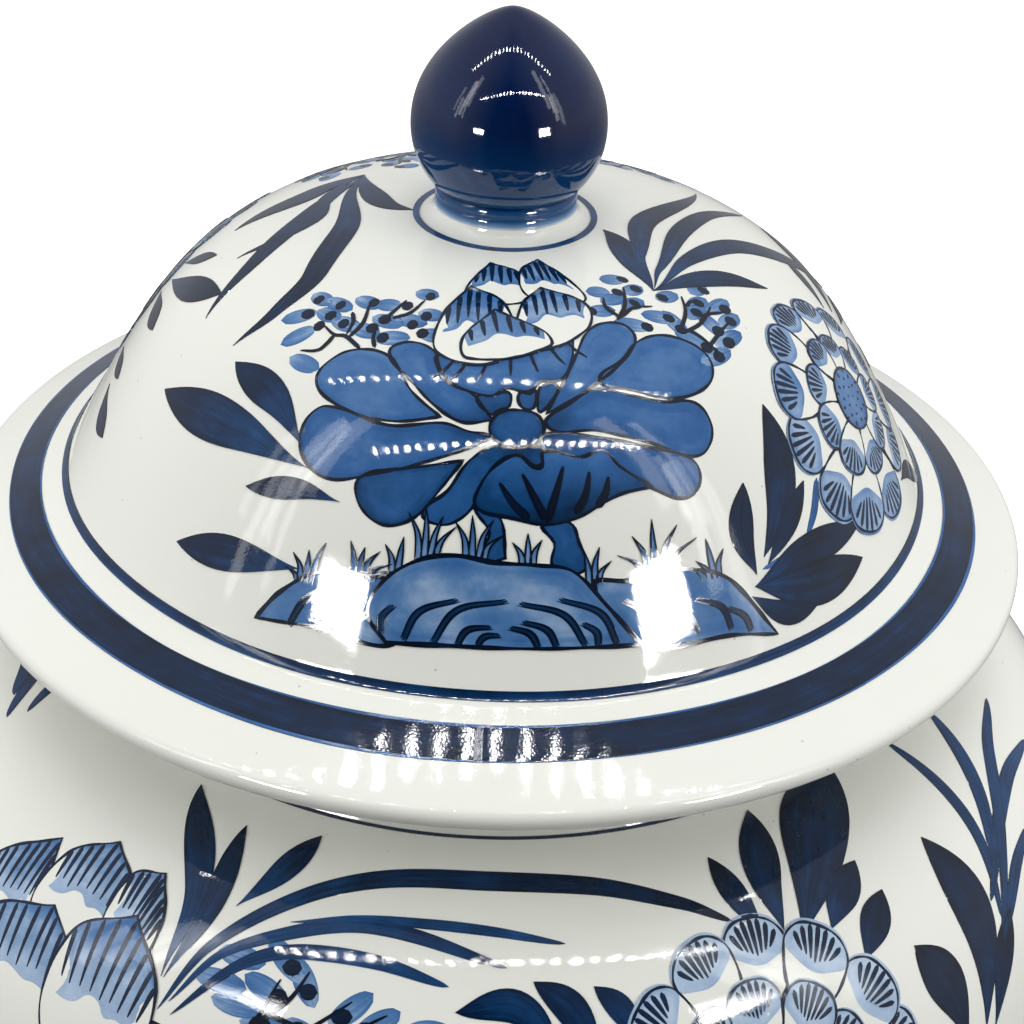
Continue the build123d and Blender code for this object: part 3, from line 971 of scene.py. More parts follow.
# Each rock: its outline, and its creases as (foot, top, bow to the left).
ROCKS = [
    (
        [
            (-35, -40.6), (-35, -40.6), (-32.5, -35), (-28, -29.8), (-23.5, -28.6), (-17.5, -28.6),
            (-15, -38.6), (-26, -39),
        ],
        [
            ((-30, -40), (-24, -31), 0.15), ((-26, -39.6), (-21, -33), 0.15),
            ((-22, -39), (-18.5, -34), 0.12),
        ],
    ),
    (
        [
            (11, -27.6), (16, -27.6), (20, -26.6), (28, -28.6), (31.8, -32), (37, -43.6), (37, -43.6),
            (30, -41), (16.5, -38.8),
        ],
        [
            ((20, -38.8), (15, -31), -0.15), ((25, -39), (20, -32), -0.15), ((30, -40), (25.5, -33), -0.2),
            ((33, -41.4), (30, -36), -0.15),
        ],
    ),
    (
        [
            (-16.6, -39), (-16.6, -39), (-19.6, -34.4), (-18, -28.4), (-13.5, -24), (-8.5, -22.6),
            (-3, -23.4), (3, -23.8), (8, -25), (12.6, -31.6), (16.8, -39), (16.8, -39), (8, -38.4),
            (-7, -38.2),
        ],
        [
            ((-17.4, -37.6), (-16.2, -32.4), 0.15), ((-14.4, -38.2), (-7.6, -30.2), 0.2),
            ((-10.6, -38.2), (-1, -30), 0.22), ((-7.4, -38.2), (-3, -34.6), 0.25),
            ((-4.8, -38), (-1.8, -36), 0.25), ((9.4, -38.2), (0.6, -30.4), -0.2),
            ((5.6, -38.2), (1, -33.6), -0.2), ((3.2, -38.2), (-0.6, -34.6), -0.2),
            ((13.6, -38.6), (6, -29.8), -0.2), ((11, -38.4), (9, -34.2), -0.2),
        ],
    ),
]
# Each tuft of grass: its root, and its blades as (x, height) from there.
TUFTS = [
    ((-29, -31.6), [(-3.6, 1.6), (-2.6, 4.2), (-0.6, 5.4), (1.4, 7.4)]),
    ((-22, -28.8), [(-1.6, 6), (0.4, 5.4), (2.4, 5.2), (4.2, 3.4), (5.6, 2.4)]),
    ((-16.4, -26.8), [(-2, 4.6), (0.2, 6.4)]),
    ((-12.6, -24), [(-3, 8), (-0.8, 9.4), (1.6, 8), (3.4, 6.4)]),
    ((-6, -23), [(-2.6, 6.4), (-0.4, 7.6), (2.4, 7), (4, 4.6)]),
    ((1.8, -23.8), [(-2, 4), (0, 5.6), (1.8, 4.4)]),
    ((10.6, -27.4), [(-0.6, 5.6), (1.4, 6.2), (2.8, 3.6)]),
    ((20, -27), [(-4.6, 4), (-2.4, 7), (0.6, 9.4), (4, 7.6), (6.4, 4.6)]),
    ((29, -30), [(-4.4, 3.2), (-2.2, 3.6), (-0.2, 7), (2, 4.4)]),
]
# Each berry: the middle of its pale oval, then its dark drop. Each twig: points along it.
LEFT_BERRIES = [
    ((-52.5, 18.5), (-53, 18)), ((-47, 19), (-46.5, 19)), ((-53, 13), (-51.6, 14.2)),
    ((-49, 9.4), (-46.5, 13)), ((-46.8, 16), (-46.2, 16)), ((-41, 15.5), (-41.6, 15.4)),
    ((-43.4, 5), None), ((-35, 23), (-30, 24)), ((-35.5, 15.5), (-34.4, 16.5)),
    ((-26.6, 20.5), (-25.6, 19.6)), ((-22.4, 23), (-23.4, 22.4)), ((-27, 28.4), (-25.6, 28)),
    ((-19, 18), (-22.2, 18)), ((-28.5, 15.5), (-30.6, 15)), ((-40.6, 22), (-39.2, 22.4)),
    ((-32, 19), (-33, 19.2)),
]
LEFT_TWIGS = [
    [(-34, 11.5), (-39, 13), (-41.5, 12.5), (-45.5, 13.5)],
    [(-41.5, 12.5), (-41.6, 10.4), (-42.4, 8.4), (-46, 7)],
    [(-31, 12.5), (-32.6, 14.4), (-33.4, 16.5)],
    [(-38, 13), (-37.4, 17), (-40, 22)],
    [(-42, 18.5), (-39.8, 16.5), (-39, 13.5)],
    [(-31.4, 20), (-28, 22.4), (-26.4, 26.5)],
    [(-33.4, 18), (-32.4, 21.5), (-31.4, 25.4)],
]
RIGHT_BERRIES = [
    ((38, 32.5), (41.4, 31.6)), ((29, 30), (35, 28.6)), ((31.6, 27), None), ((36, 24.6), (36.6, 24.6)),
    ((25.6, 24.6), (22.6, 25)), ((40.4, 28), (41.6, 28)), ((47.6, 23.4), (46, 23.6)),
    ((39.6, 19.6), (41.6, 18.6)), ((31, 19.6), (34.2, 18.2)), ((58.6, 21.6), (59.6, 20.6)),
    ((57.6, 16.2), (58.4, 15)), ((50, 17.6), (50.2, 17.4)), ((53.4, 19), (53.6, 19)),
    ((50.6, 13.8), (50.6, 12)), ((56, 12.6), (56.2, 12.4)), ((51.4, 9.6), (50.6, 9)),
    ((45, 7.6), (45.6, 7.4)), ((42.6, 12.6), (44.4, 10)), ((42, 17), (42, 15.4)),
]
RIGHT_TWIGS = [
    [(28, 21.5), (33, 24.5), (38.5, 29.5)],
    [(29, 22), (27.5, 25.5), (29, 28)],
    [(29.5, 22), (35, 23.5), (40.5, 22.5)],
    [(41, 15), (47.5, 18.5), (51.5, 22)],
    [(49.5, 19.5), (51.4, 20), (53, 20)],
    [(41.5, 14.5), (48.5, 15), (55.5, 17)],
    [(48, 15), (52, 16), (57.5, 14.5)],
    [(45, 10), (50.5, 11.5), (55.5, 12.5)],
    [(43.5, 15), (44.8, 13), (46, 9.5)],
    [(46, 9.5), (46, 8.4), (45.5, 7.5)],
]
HANGING_HAIRS = [(-13, 13.2), (-10.2, 13.2), (-6, 13.8), (-1, 15), (3.4, 15.8), (8, 17.2), (12, 18.4)]


def rocks(paint, board):
    """Three rocks with grass behind them."""
    for root, blades in TUFTS:
        tuft(paint, board, root, blades)
    for depth, (outline, creases) in enumerate(ROCKS):
        rock(paint, board, outline, creases, lift=SHADE + LAYER * depth)


def great_leaf(paint, board):
    """The scalloped lotus leaf, its near edge folded over."""
    def darker_inwards(p):
        return 0.14 * np.exp(-(p[:, 0] ** 2 + 4 * p[:, 1] ** 2) / 120)

    for ink, outline in LOBES:
        patch(paint, board, outline, lambda p: ink + darker_inwards(p))
    patch(paint, board, LEAF_BACK, FILL)
    patch(paint, board, LEAF_FOLD, lambda p: FOLD - 0.03 * (p[:, 1] + 10), lift=SHADE)
    for x, y in HANGING_HAIRS:
        spread = x + 1
        mark(paint, board, [(x, y), (x + 0.12 * spread, y - 2.4), (x + 0.3 * spread, y - 4.6)], 0.6)
    for vein in FOLD_VEINS:
        mark(paint, board, vein, 1.5, widest=0.2, lift=TOP)
    patch(paint, board, LEAF_MIDDLE, DISC, line=0.6, lift=RESERVE)


def lotus(paint, board):
    """The great leaf with the bud behind it, rocks under it and berries on each side."""
    spray(paint, board, LEFT_TWIGS, LEFT_BERRIES)
    spray(paint, board, RIGHT_TWIGS, RIGHT_BERRIES)
    for stem in STEMS:
        patch(paint, board, stem, STEM)
    rocks(paint, board)
    great_leaf(paint, board)
    for depth, petal in enumerate(PETALS):
        bud_petal(paint, board, *petal, lift=RESERVE + LAYER * depth, wash=0.32)


# ---- the other motifs on the lid --------------------------------------------------------------------
SCALLOP = ((-1, 0.68), (-0.6, 0.94), (0, 1), (0.6, 0.94), (1, 0.68))  # a petal's rim: across, out
SCALLOP_HEM = ((0.6, 0.48), (0, 0.38), (-0.6, 0.48))                  # where its wash ends
SCALLOP_FOOT = ((0.72, 0), (-0.72, 0))
SCALLOP_LINE = 0.92        # ink of its outline
HALO = 1.025               # how far the wash runs out past the rim
CLOSE_UP = 0.775           # how near the outermost stripes come to the petal's edges
SEEDS = 26                 # dots on the disc
GOLDEN = 2.4               # turn from one dot to the next, in radians


def scallop(paint, board, spot, half, wash, stripes, width, lift):
    """A scalloped petal: its halo, outline and shaded rim, and stripes that close up inwards.

    spot gives the point at an angle from the petal's middle line and a share of its length; half
    is half of the petal's angle.
    """
    edges = (SCALLOP, SCALLOP_HEM, SCALLOP_FOOT)
    rim, hem, foot = ([spot(half * across, out) for across, out in edge] for edge in edges)
    halo = [towards((0, 0), place, HALO) for place in rim]
    paint.pool(board, smooth(halo + foot, closed=True), wash, lift - COAT)
    patch(paint, board, rim + foot, 0.0, line=0.5, line_ink=SCALLOP_LINE, lift=lift)
    paint.pool(board, smooth(rim + hem, closed=True), wash, lift + COAT)
    for i in range(stripes):
        aside = (2 * i + 1) / stripes - 1
        start, end = 1.0 - 0.22 * aside**2, 0.50 + 0.12 * abs(aside)
        path = ((1.0, start), (0.86, (start + end) / 2), (0.66, end))
        line = [spot(CLOSE_UP * half * aside * near, share) for near, share in path]
        mark(paint, board, line, width, ink=STRIPE, lift=lift + 3 * COAT, widest=0.22)


def chrysanthemum(paint, board, rings, disc, petals, lean=(0.0, 0.0), wash=PALE, stripes=6):
    """A flower of scalloped petals in rings, outermost first, round a speckled disc.

    rings are outer radii; lean, as (share, direction in degrees), lets the petals reach further on
    one side than on the other.
    """
    for depth, (radius, number) in enumerate(zip(rings, petals)):
        inner = 0.86 * (*rings, disc)[depth + 1]
        half = 1.06 * math.pi / number
        for k in range(number):
            middle = 2 * math.pi * (k + 0.5 * (depth % 2)) / number + paint.random.uniform(-0.05, 0.05)

            def spot(aside, share):
                angle = middle + aside
                reach = radius * (1 + lean[0] * math.cos(angle - math.radians(lean[1])))
                far = inner + share * (reach - inner)
                return (far * math.cos(angle), far * math.sin(angle))

            lift = MARK + COAT + RING * depth + 4 * COAT * (k % 3)
            scallop(paint, board, spot, half, wash, stripes, 0.85 * half * radius / stripes, lift)
    round_disc = [(disc * math.cos(a), disc * math.sin(a)) for a in np.arange(0, 6.2, 0.5)]
    patch(paint, board, round_disc, 0.40, line=0.5, lift=MARK + 2.2 * RING)
    for k in range(SEEDS):
        angle, far = GOLDEN * k, disc * 0.88 * math.sqrt((k + 0.5) / SEEDS)
        place = (far * math.cos(angle), far * math.sin(angle))
        line = [towards(place, (0, 0), share) for share in (0, -0.1, -0.2)]
        mark(paint, board, line, 0.6, lift=MARK + 2.5 * RING)


# Leaves and blades are each a line, in mm on their own board, and a width.
LID_FLOWER_LEAVES = [
    ([(-9.5, -2), (-2.5, 5.5), (2, 14.5), (4, 23.5)], 7.8),
    ([(-9, -3.5), (-1.5, 2), (6, 7.5)], 4.4),
    ([(-12, -4.5), (-13, 3.5), (-9.5, 12)], 5.4),
    ([(-13, -6.5), (-1, -4.5), (18, -6)], 6.4),
    ([(-13, -6.5), (-0.5, -10.5), (15, -12)], 8.4),
    ([(-14, -8), (-8, -13), (-0.5, -14.5)], 4.6),
]
LID_FLOWER_STEMS = [
    [(-10.5, -4), (-0.5, -3.5), (17, -4)],
    [(2, -2), (6, 1.5), (10, 6.5)],
]
LID_EDGE_LEAVES = [
    ([(-1, 22), (12, 27), (30, 34)], 6.4),
    ([(-1, 18.5), (7.5, 18), (16.5, 17)], 4.6),
    ([(2.5, 5), (8, 4.5), (15.5, 4)], 3.4),
    ([(11.5, 0.5), (18, -3), (25.5, -4.5)], 4.6),
    ([(-5, 25), (1, 30), (7, 35)], 3.2),
]
LID_LEFT_LEAVES = [
    ([(22, 5), (4, 6.5), (-21, 4)], 9.0),
    ([(19.6, 8.4), (9, 14.4), (-6.4, 16.8)], 6.6),
    ([(30, 0.8), (22, 1), (11, -2)], 4.2),
    ([(26, -12.4), (14, -14), (1, -17)], 6.6),
]


def lid_flower(paint, azimuth):
    """The chrysanthemum, with its stems and dark leaves, beside the lotus."""
    left = Board(LID_SKIN, azimuth - 25.6, 80.0)
    for line in LID_FLOWER_STEMS:
        leaf(paint, left, line, 1.9, inks=(0.5, 0.62), lift=WASH, blunt=0.3)
    leaves(paint, left, LID_FLOWER_LEAVES, (0.80, 0.95), widest=0.55)
    flower = Board(LID_SKIN, azimuth, 67.3)
    chrysanthemum(paint, flower, (24.0, 14.5), 6.2, (12, 9), lean=(0.10, 200), wash=0.27, stripes=6)
    edge = Board(LID_SKIN, azimuth + 14.4, 95.0)
    leaf(paint, edge, [(-14, 5), (-6, 3), (2, -4)], 4.6, inks=(0.85, 0.95))


# Blades that fan out from one root.
RIGHT_FAN = [
    ([(5, 9), (19, 19.5)], 5.6),
    ([(10, 9.6), (33, 11.4), (53, -8)], 5.2),
    ([(7.5, 4), (26, 5.4), (39.5, -1.5), (47.5, -16)], 4.2),
    ([(15, 1.6), (27.5, -4.5), (33.5, -17), (38.5, -33.5)], 5.0),
    ([(9, -2), (15.5, -6.5), (20, -14.5)], 5.0),
]
LEFT_FAN = [
    ([(7.5, -3.5), (14, -7.5), (20, -19)], 6.0),
    ([(6.5, 1), (23, -3.5), (33, -14), (38, -28)], 4.6),
    ([(14, -1), (23.5, -1), (29, -8), (30, -17.5)], 3.2),
    ([(5, 2), (29, 5), (44, -6.5), (46.5, -18), (45.5, -28)], 5.4),
    ([(10.5, 7.5), (19, 13), (23, 18)], 5.2),
]
# The jar and the lid carry two scenes each, half a turn apart. The fan beside the lid's knob differs.
HALVES = (("front", 0.0), ("back", 180.0))
FANS = {"front": (45.5, 26.5, RIGHT_FAN), "back": (-125.8, 23.1, LEFT_FAN)}


def lid_lotus(paint, turn):
    """The lotus scene, at the front of the dome or at its back."""
    lotus(paint, Board(LID_SKIN, 3.2 + turn, 52.5))


def lid_leaves(paint, turn, fan):
    """A fan of blades beside the knob, and the leaves at the lotus's left."""
    azimuth, down, blades = fan
    blades = [([(0, 0), *line], width) for line, width in blades]
    leaves(paint, Board(LID_SKIN, azimuth, down), blades, (0.74, 0.90), widest=0.55, blunt=1.0)
    leaves(paint, Board(LID_SKIN, turn - 45.0, 70.0), LID_LEFT_LEAVES, (0.70, 0.90))
    leaves(paint, Board(LID_SKIN, turn - 90.0, 80.0), LID_EDGE_LEAVES, (0.80, 0.94))


def lid_bands(paint):
    """The blue line round the knob, the line at the dome's foot and the broad band on the brim."""
    paint.ring(3.9, 5.2, (0.60, 0.72, 0.66), waver=0.2)
    paint.ring(98.2, 100.1, (0.66, 0.82, 0.78), waver=0.3)
    paint.ring(104.8, 105.4, 0.55, waver=0.4)
    paint.ring(105.2, 111.7, 0.86, waver=0.3, lift=TOP)
    paint.ring(111.4, 112.1, 0.50, waver=0.4)


painted("lid_bands", LID_SKIN, lid_bands)
for side, turn in HALVES:
    painted(f"lid_lotus_{side}", LID_SKIN, lid_lotus, turn)
    painted(f"lid_flower_{side}", LID_SKIN, lid_flower, turn + 70.6)
    painted(f"lid_leaves_{side}", LID_SKIN, lid_leaves, turn, FANS[side])


# ---- the jar ----------------------------------------------------------------------------------------
JAR_PETALS = [
    ((-12, 16.6), (-24, 6), (-9.4, 10), ((-24, -8), (-8, -6))),
    ((0.6, 22), (-8.4, 15), (9.6, 15.4), ((-8, 2), (9, 2))),
    ((14.6, 21), (8, 18), (19.4, 13), ((9, 4), (17, 2))),
    ((-4, 6.2), (-18, -2), (3.6, 0), ((-17, -18), (5, -17.4))),
    ((14, 12.2), (2.4, 4), (24, 1), ((5, -17), (20.6, -16))),
]
JAR_BUD_LEAVES = [
    ([(-14, -10.5), (-15, 6.5), (-30.5, 25)], 5.8),
    ([(-13.5, -10.5), (-10.5, 4.5), (-13.5, 21)], 4.6),
    ([(-6, 5.5), (-1, 13.5), (3.5, 24)], 5.0),
]
JAR_BLADES = [
    ([(-51.5, -18), (-46, -4), (-33, 9), (-18, 15.6), (2, 17), (24, 15), (40, 9), (48.5, 3.4)],
     4.2, (0.70, 0.95)),
    ([(-50, -16), (-44, -5.4), (-34, 1.4), (-22, 5.6), (-10, 5), (6, 0.4)], 2.8, (0.66, 0.80)),
    ([(-34, 3.6), (-22, 6.8), (-8, 7.6), (4, 6.8), (16.5, 4.4)], 2.0, (0.66, 0.72)),
    ([(-49, -18), (-42, -8), (-36, -3), (-28, -0.6), (-16, -0.4), (-4, -3.2)], 2.8, (0.78, 0.66)),
]
JAR_SPRAY_BERRIES = [
    ((-13.6, 3.4), None), ((-5.4, 5), (-4, 4)), ((-1, 2), (0, 0.6)), ((-7.6, -0.6), (-5, -1.4)),
    ((-12, -4.6), None), ((-6, -7), (-7, -6.6)), ((1, -6.6), (-0.4, -6)), ((8, -1), (6.6, -2.4)),
    ((13, -2.6), (11, -4)), ((9, -6), (8.4, -7)), ((16, -7), (17.4, -6)), ((22, -3), None),
    ((-16, -1.6), None), ((4.4, -11), (3, -10)), ((-1, -13), None),
]
JAR_SPRAY_TWIGS = [
    [(-18, -16), (-9, -8), (-5.4, 1.6)],
    [(-9, -8), (-3, -1.4), (-0.6, 4)],
    [(-12, -12), (-2, -8), (8, 0.4)],
    [(-4, -8.6), (6, -6), (14.4, -1)],
    [(5, -6.4), (13, -8), (21, -4)],
    [(-6, -4.6), (-0.4, -5.4), (5.4, -4.4)],
]
JAR_LOW_LEAVES = [
    ([(0, -8), (-8, 3.4), (-19.5, 2.6)], 5.8),
    ([(6, -8), (1, 3), (-5.6, 8)], 5.8),
    ([(13, -6), (10, 2), (5.4, 6.6)], 4.6),
]
JAR_TOP_LEAVES = [
    ([(-5, -1), (-7, 7.5), (-8.5, 16.5)], 5.0),
    ([(-1, -1), (0.5, 9.5), (7.5, 23.5)], 7.4),
    ([(2, -3), (10, 6), (20, 16), (36.5, 26)], 13.5),
    ([(8, -4), (12.5, 0), (20.5, 5)], 6.6),
    ([(12, -11.5), (16.5, -7), (22, -2)], 6.6),
]
JAR_SIDE_LEAVES = [
    ([(-6, -26), (0, -6), (-1.4, 13.4)], 10.6),
    ([(-11, -25), (-13, -12), (-17.6, -1.8)], 9.6),
    ([(-3.4, -27), (3.4, -16), (10, -9)], 6.4),
]
JAR_SIDE_BLADES = [
    ([(-14, -14), (-8, 3), (-5.5, 26)], 3.0),
    ([(-15, -16), (-2, -2.6), (14, 8), (30, 11.6)], 3.4),
    ([(-10, -6), (0, 5), (13, 22)], 3.8),
    ([(-15, -10), (-3, -2), (12, 2), (27, 0.6)], 3.8),
    ([(-16, -18), (-4, -10), (6, -7)], 3.4),
]
GROUNDS = 7                # rocks, round the foot
# Each stalk: its azimuth, its line up from the ground in mm, its width, and its leaves and their size.
JAR_STALKS = [
    (-38.0, [(4, -98), (-3, -46), (2, -20), (-2, 32)], 4.2, 0, 0.0),
    (-38.0, [(10, -98), (9, -44), (14, -18), (8, 34)], 3.6, 0, 0.0),
    (-66.0, [(6, -98), (-4, -36), (2, 0), (14, 40), (12, 66)], 3.0, 7, 25.0),
    (-20.0, [(-2, -98), (4, -40), (-2, -4), (-12, 30)], 2.6, 5, 22.0),
    (-6.0, [(0, -98), (6, -44), (2, -10)], 2.6, 4, 24.0),
    (24.0, [(-8, -98), (-12, -34), (-2, 4), (2, 44)], 3.4, 6, 28.0),
    (44.0, [(-6, -98), (6, -36), (8, 4), (2, 44)], 2.8, 7, 25.0),
    (66.0, [(0, -98), (4, -46), (2, -4)], 3.4, 0, 0.0),
    (92.0, [(4, -98), (-6, -30), (0, 14), (-8, 58)], 3.0, 7, 26.0),
]
JAR_EDGE_BLADES = [
    ([(9, 1), (0, 6), (-12, 5.4)], 3.4),
    ([(14, -2), (4, 8), (-6, 13)], 2.8),
    ([(16, 2), (10, 12), (4, 22)], 2.6),
    ([(12, -6), (2, -8), (-12, -7)], 3.6),
]


# Each group of leaves: where its board is, from the scene's middle and down from the neck, the
# leaves, their inks, where they are widest and how blunt they are.
JAR_GROUPS = [
    (8.0, 38.0, JAR_LOW_LEAVES, (0.66, 0.88), 0.6, 0.9),
    (30.0, 28.0, JAR_TOP_LEAVES, (0.78, 0.95), 0.55, 0.9),
    (50.0, 40.0, JAR_SIDE_LEAVES, (0.80, 0.95), 0.6, 0.9),
    (60.0, 35.0, JAR_SIDE_BLADES, (0.78, 0.72), 0.5, 0.5),
    (-70.0, 20.0, JAR_EDGE_BLADES, (0.72, 0.92), 0.5, 0.5),
]


def jar_flowers(paint, azimuth):
    """The lotus with its bud, and a great chrysanthemum."""
    great_leaf(paint, Board(JAR_SKIN, azimuth - 38.0, 73.0, scale=1.15))
    bud = Board(JAR_SKIN, azimuth - 38.0, 45.0)
    for depth, petal in enumerate(JAR_PETALS):
        bud_petal(paint, bud, *petal, stripes=9, lift=RESERVE + LAYER * depth, wash=0.20)
    flower = Board(JAR_SKIN, azimuth + 24.5, 57.0)
    chrysanthemum(paint, flower, (32.0, 21.5), 9.5, (13, 10), lean=(0.03, 20), wash=0.18, stripes=7)


def jar_leaves(paint, azimuth):
    """Leaves, long bending blades and berries, round half of the jar's shoulder."""
    leaves(paint, Board(JAR_SKIN, azimuth - 20.0, 30.0), JAR_BUD_LEAVES, (0.66, 0.93))
    blades = Board(JAR_SKIN, azimuth, 28.0)
    for line, width, inks in JAR_BLADES:
        leaf(paint, blades, line, width, inks, blunt=0.5)
    spray(paint, Board(JAR_SKIN, azimuth - 14.0, 36.0), JAR_SPRAY_TWIGS, JAR_SPRAY_BERRIES, 1.15)
    for aside, down, group, inks, widest, blunt in JAR_GROUPS:
        leaves(paint, Board(JAR_SKIN, azimuth + aside, down), group, inks, widest, blunt)


def stalk(paint, board, line, width, number, size, ink=0.62):
    """A stalk drawn from its foot up, with a number of dark leaves on its two sides by turns."""
    leaf(paint, board, line, width, inks=(ink, ink + 0.08), widest=0.4, lift=WASH, blunt=0.25)
    path = smooth(line)
    for k in range(number):
        at = int((0.16 + 0.72 * k / number) * len(path))
        ahead = path[at + 2] - path[at]
        ahead = ahead / np.linalg.norm(ahead)
        side = (-1) ** k * np.array([ahead[1], -ahead[0]])
        reach = size * paint.random.uniform(0.8, 1.15)
        tip = path[at] + reach * (0.75 * ahead + 0.66 * side)
        half = path[at] + reach * (0.30 * ahead + 0.42 * side)
        leaf(paint, board, [path[at], half, tip], 0.32 * reach, inks=(0.74, 0.94), widest=0.6)


def jar_garden(paint, azimuth):
    """What grows between the rocks and the shoulder, in half of the jar."""
    for turn, line, width, number, size in JAR_STALKS:
        stalk(paint, Board(JAR_SKIN, azimuth + turn, 130.0), line, width, number, size)
    small = Board(JAR_SKIN, azimuth - 6.0, 122.0)
    chrysanthemum(paint, small, (21.0, 13.0), 5.6, (11, 8), wash=0.28, stripes=5)
    far = Board(JAR_SKIN, azimuth + 66.0, 118.0, scale=0.8)
    for depth, petal in enumerate(PETALS):
        bud_petal(paint, far, *petal, lift=RESERVE + LAYER * depth)
    great_leaf(paint, far)
    spray(paint, far, LEFT_TWIGS, LEFT_BERRIES)


def jar_ground(paint):
    """Rocks and grass low on the jar, all the way round."""
    for k in range(GROUNDS):
        rocks(paint, Board(JAR_SKIN, 360.0 / GROUNDS * k, 202.0, scale=1.55))


def jar_bands(paint):
    """The line round the root of the neck, and a line and a band above the foot."""
    paint.ring(0.1, 0.9, 0.86, waver=0.05)
    paint.ring(272.0, 273.4, 0.78, waver=0.3)
    paint.ring(279.0, 286.0, 0.90, waver=0.3)


for side, turn in HALVES:
    painted(f"jar_flowers_{side}", JAR_SKIN, jar_flowers, turn)
    painted(f"jar_leaves_{side}", JAR_SKIN, jar_leaves, turn)
for side, turn in HALVES:
    painted(f"jar_garden_{side}", JAR_SKIN, jar_garden, turn)
painted("jar_ground", JAR_SKIN, jar_ground)
painted("jar_bands", JAR_SKIN, jar_bands)


# ---- camera, lights and floor ---------------------------------------------------------------------
CAMERA_PLACE = Vector((0.0, -0.37892, 0.51908))
CAMERA_TARGET = Vector((0.0041, 0.0, 0.28973))
CAMERA_ROLL = math.radians(2.745)
LENS, SENSOR = 73.1, 36.0  # mm

LIT = Vector((0, 0, 0.33))  # what the lamps face
# Each strip is a row of small lamps: its two ends, the size of a lamp and its power.
STRIPS = [
    ((-0.25, -0.045, 0.66), (0.25, -0.045, 0.66), (0.0035, 0.013), 0.012),
    ((-0.20, -0.235, 0.60), (0.26, -0.205, 0.64), (0.0035, 0.013), 0.024),
]
STRIP_LAMPS = 24
# Each panel: its middle, its size and its power.
PANELS = [
    ((-0.176, -0.259, 0.407), (0.064, 0.027), 0.06),
    ((0.209, -0.243, 0.411), (0.070, 0.044), 0.11),
]
PANEL_SPREAD = 54.0        # degrees: narrow, so that the panels reach the lid and miss the jar
STREAKS = 7                # bright slats of the windows, on each side
STREAK_FIRST, STREAK_STEP = 0.70, 0.11   # how far aside the first one stands, and the next ones
STREAK_FRONT, STREAK_HEIGHT = (-0.6, -0.3), (0.85, 1.2)
STREAK_WIDTH, STREAK_LENGTH = (0.03, 0.09), (0.3, 0.8)
STREAK_GLOW = (0.8, 3.2)   # radiance
FILL_SIZE = (0.8, 0.8)     # soft lamps, left out of the reflections
SIDE_FILL, SIDE_POWER = (1.5, -0.5, 0.8), 13.0
FRONT_FILL, FRONT_POWER = (0.0, -0.8, 1.6), 3.4
DAYLIGHT = 0.90            # broad soft light from above, left out of the reflections too
DAYLIGHT_TILT, DAYLIGHT_WIDTH = math.radians(-8), math.radians(40)

# The room's light, by direction: dim ahead of the object's front, brighter aside and behind.
ROOM_ASIDE = 0.8           # how much a step aside counts, against a step back
ROOM_BACK, ROOM_GLOW = (-0.6, 0.3), (0.03, 0.55)
ROOM_RISE, ROOM_LOW = (-0.35, 0.05), (0.4, 1.0)        # less of it comes from below the horizon

PAPER = [(0.3, linear(247, 247, 247)), (0.7, linear(250, 250, 250))]
PURE_WHITE = (1.0, 1.0, 1.0, 1.0)


def placed(name, data):
    """A new object in the scene."""
    thing = bpy.data.objects.new(name, data)
    bpy.context.scene.collection.objects.link(thing)
    return thing


def camera():
    """A camera before the jar and above it, with a slight roll."""
    ahead = (CAMERA_TARGET - CAMERA_PLACE).normalized()
    level = ahead.cross(Vector((0, 0, 1))).normalized()
    right = math.cos(CAMERA_ROLL) * level + math.sin(CAMERA_ROLL) * level.cross(ahead)
    up = right.cross(ahead)
    lens = bpy.data.cameras.new("camera")
    lens.lens, lens.sensor_width = LENS, SENSOR
    lens.clip_start, lens.clip_end = 0.01, 50.0
    seen = placed("camera", lens)
    turn = Matrix((right, up, -ahead)).transposed().to_4x4()
    seen.matrix_world = Matrix.Translation(CAMERA_PLACE) @ turn
    bpy.context.scene.camera = seen


def lamp(name, place, target, size, power, glossy=True, diffuse=True, spread=180.0):
    """A rectangular light, facing a point, that the camera doesn't see."""
    light = bpy.data.lights.new(name, "AREA")
    light.shape = "RECTANGLE"
    light.size, light.size_y = size
    light.energy = power
    light.spread = math.radians(spread)
    thing = placed(name, light)
    thing.location = place
    thing.rotation_euler = (Vector(target) - Vector(place)).to_track_quat("-Z", "Y").to_euler()
    thing.visible_camera = False
    thing.visible_glossy, thing.visible_diffuse = glossy, diffuse


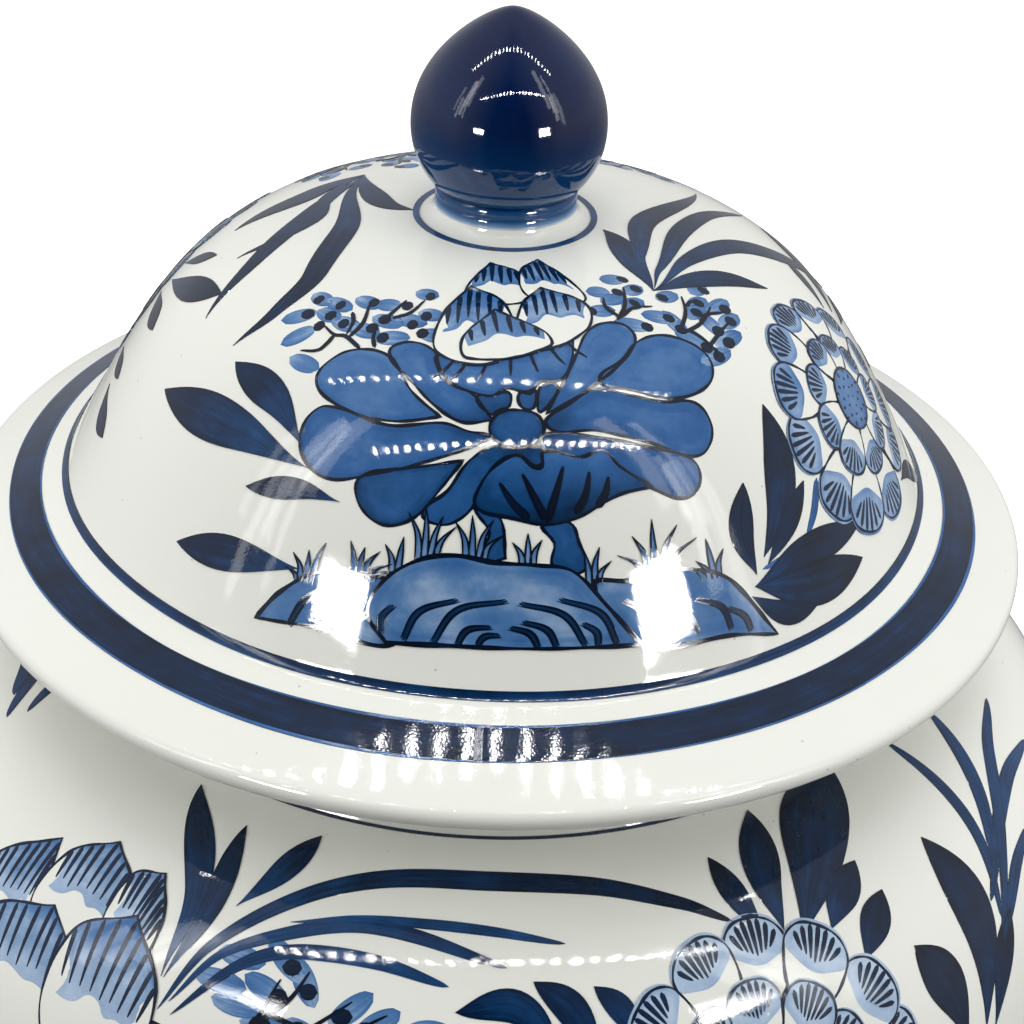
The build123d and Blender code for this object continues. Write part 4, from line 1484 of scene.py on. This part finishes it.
def lights():
    """Lamps for the reflections alone, and soft lamps for all the rest."""
    for row, (first, last, size, power) in enumerate(STRIPS):
        for i, share in enumerate(np.linspace(0, 1, STRIP_LAMPS)):
            place = Vector(first).lerp(Vector(last), share)
            lamp(f"strip_{row}_{i}", place, place - Vector((0, 0, 1)), size, power, diffuse=False)
    for i, (place, size, power) in enumerate(PANELS):
        lamp(f"panel_{i}", place, LIT, size, power, diffuse=False, spread=PANEL_SPREAD)
    chance = random.Random(11)
    for side in (-1, 1):
        place = (SIDE_FILL[0] * side, *SIDE_FILL[1:])
        lamp(f"fill_{side}", place, LIT, FILL_SIZE, SIDE_POWER, glossy=False)
        for i in range(STREAKS):
            aside = side * (STREAK_FIRST + STREAK_STEP * i)
            place = (aside, chance.uniform(*STREAK_FRONT), chance.uniform(*STREAK_HEIGHT))
            size = (chance.uniform(*STREAK_WIDTH), chance.uniform(*STREAK_LENGTH))
            power = chance.uniform(*STREAK_GLOW) * math.pi * size[0] * size[1]
            lamp(f"streak_{side}_{i}", place, LIT, size, power, diffuse=False)
    lamp("fill_front", FRONT_FILL, LIT, FILL_SIZE, FRONT_POWER, glossy=False)
    daylight = bpy.data.lights.new("daylight", "SUN")
    daylight.energy, daylight.angle = DAYLIGHT, DAYLIGHT_WIDTH
    above = placed("daylight", daylight)
    above.rotation_euler = (DAYLIGHT_TILT, 0, 0)
    above.visible_glossy = False


def surroundings():
    """A bright room, dimmer ahead of the object, so that dark paint on its front stays dark."""
    world = bpy.data.worlds.new("room")
    bpy.context.scene.world = world
    world.use_nodes = True
    room = Nodes(world.node_tree)
    direction = room.add("ShaderNodeTexCoord").outputs["Generated"]
    axes = room.add("ShaderNodeSeparateXYZ", {0: direction}).outputs
    back = room.calc("MULTIPLY_ADD", room.calc("ABSOLUTE", axes["X"]), ROOM_ASIDE, axes["Y"])
    glow = room.rescale(back, ROOM_BACK, ROOM_GLOW)
    rise = room.rescale(axes["Z"], ROOM_RISE, ROOM_LOW)
    background = room.nodes["Background"].inputs
    room.put(background["Strength"], room.calc("MULTIPLY", glow, rise))
    room.put(background["Color"], PURE_WHITE)


def staged(name, corners, faces, noise, glow):
    """A pale, faintly glowing stretch of paper that isn't part of the object."""
    mesh = bpy.data.meshes.new(name)
    mesh.from_pydata(corners, [], faces)
    recipe = Recipe(f"{name}_paper")
    recipe.set("Base Color", recipe.ramp(recipe.noise(noise), PAPER))
    recipe.set("Roughness", 0.9)
    recipe.set("Emission Color", PURE_WHITE)
    recipe.set("Emission Strength", glow)
    mesh.materials.append(recipe.material)
    paper = placed(name, mesh)
    paper.visible_glossy = paper.visible_diffuse = False
    return paper


def square(reach, height):
    """The corners of a level square about the Z axis."""
    return [(x * reach, y * reach, height) for x, y in ((-1, -1), (1, -1), (1, 1), (-1, 1))]


def floor_and_backdrop():
    """A floor that lights nothing, and a white room far round it that the camera alone sees."""
    staged("floor", square(8.0, 0), [(0, 1, 2, 3)], noise=3.0, glow=0.50)
    walls = [(k, (k + 1) % 4, (k + 1) % 4 + 4, k + 4) for k in range(4)]
    corners = square(7.5, 0.001) + square(7.5, 9.0)
    room = staged("backdrop", corners, [*walls, (4, 5, 6, 7)], noise=1.0, glow=1.0)
    room.visible_shadow = room.visible_transmission = False


camera()
lights()
surroundings()
floor_and_backdrop()
bpy.context.scene.view_settings.view_transform = "Standard"
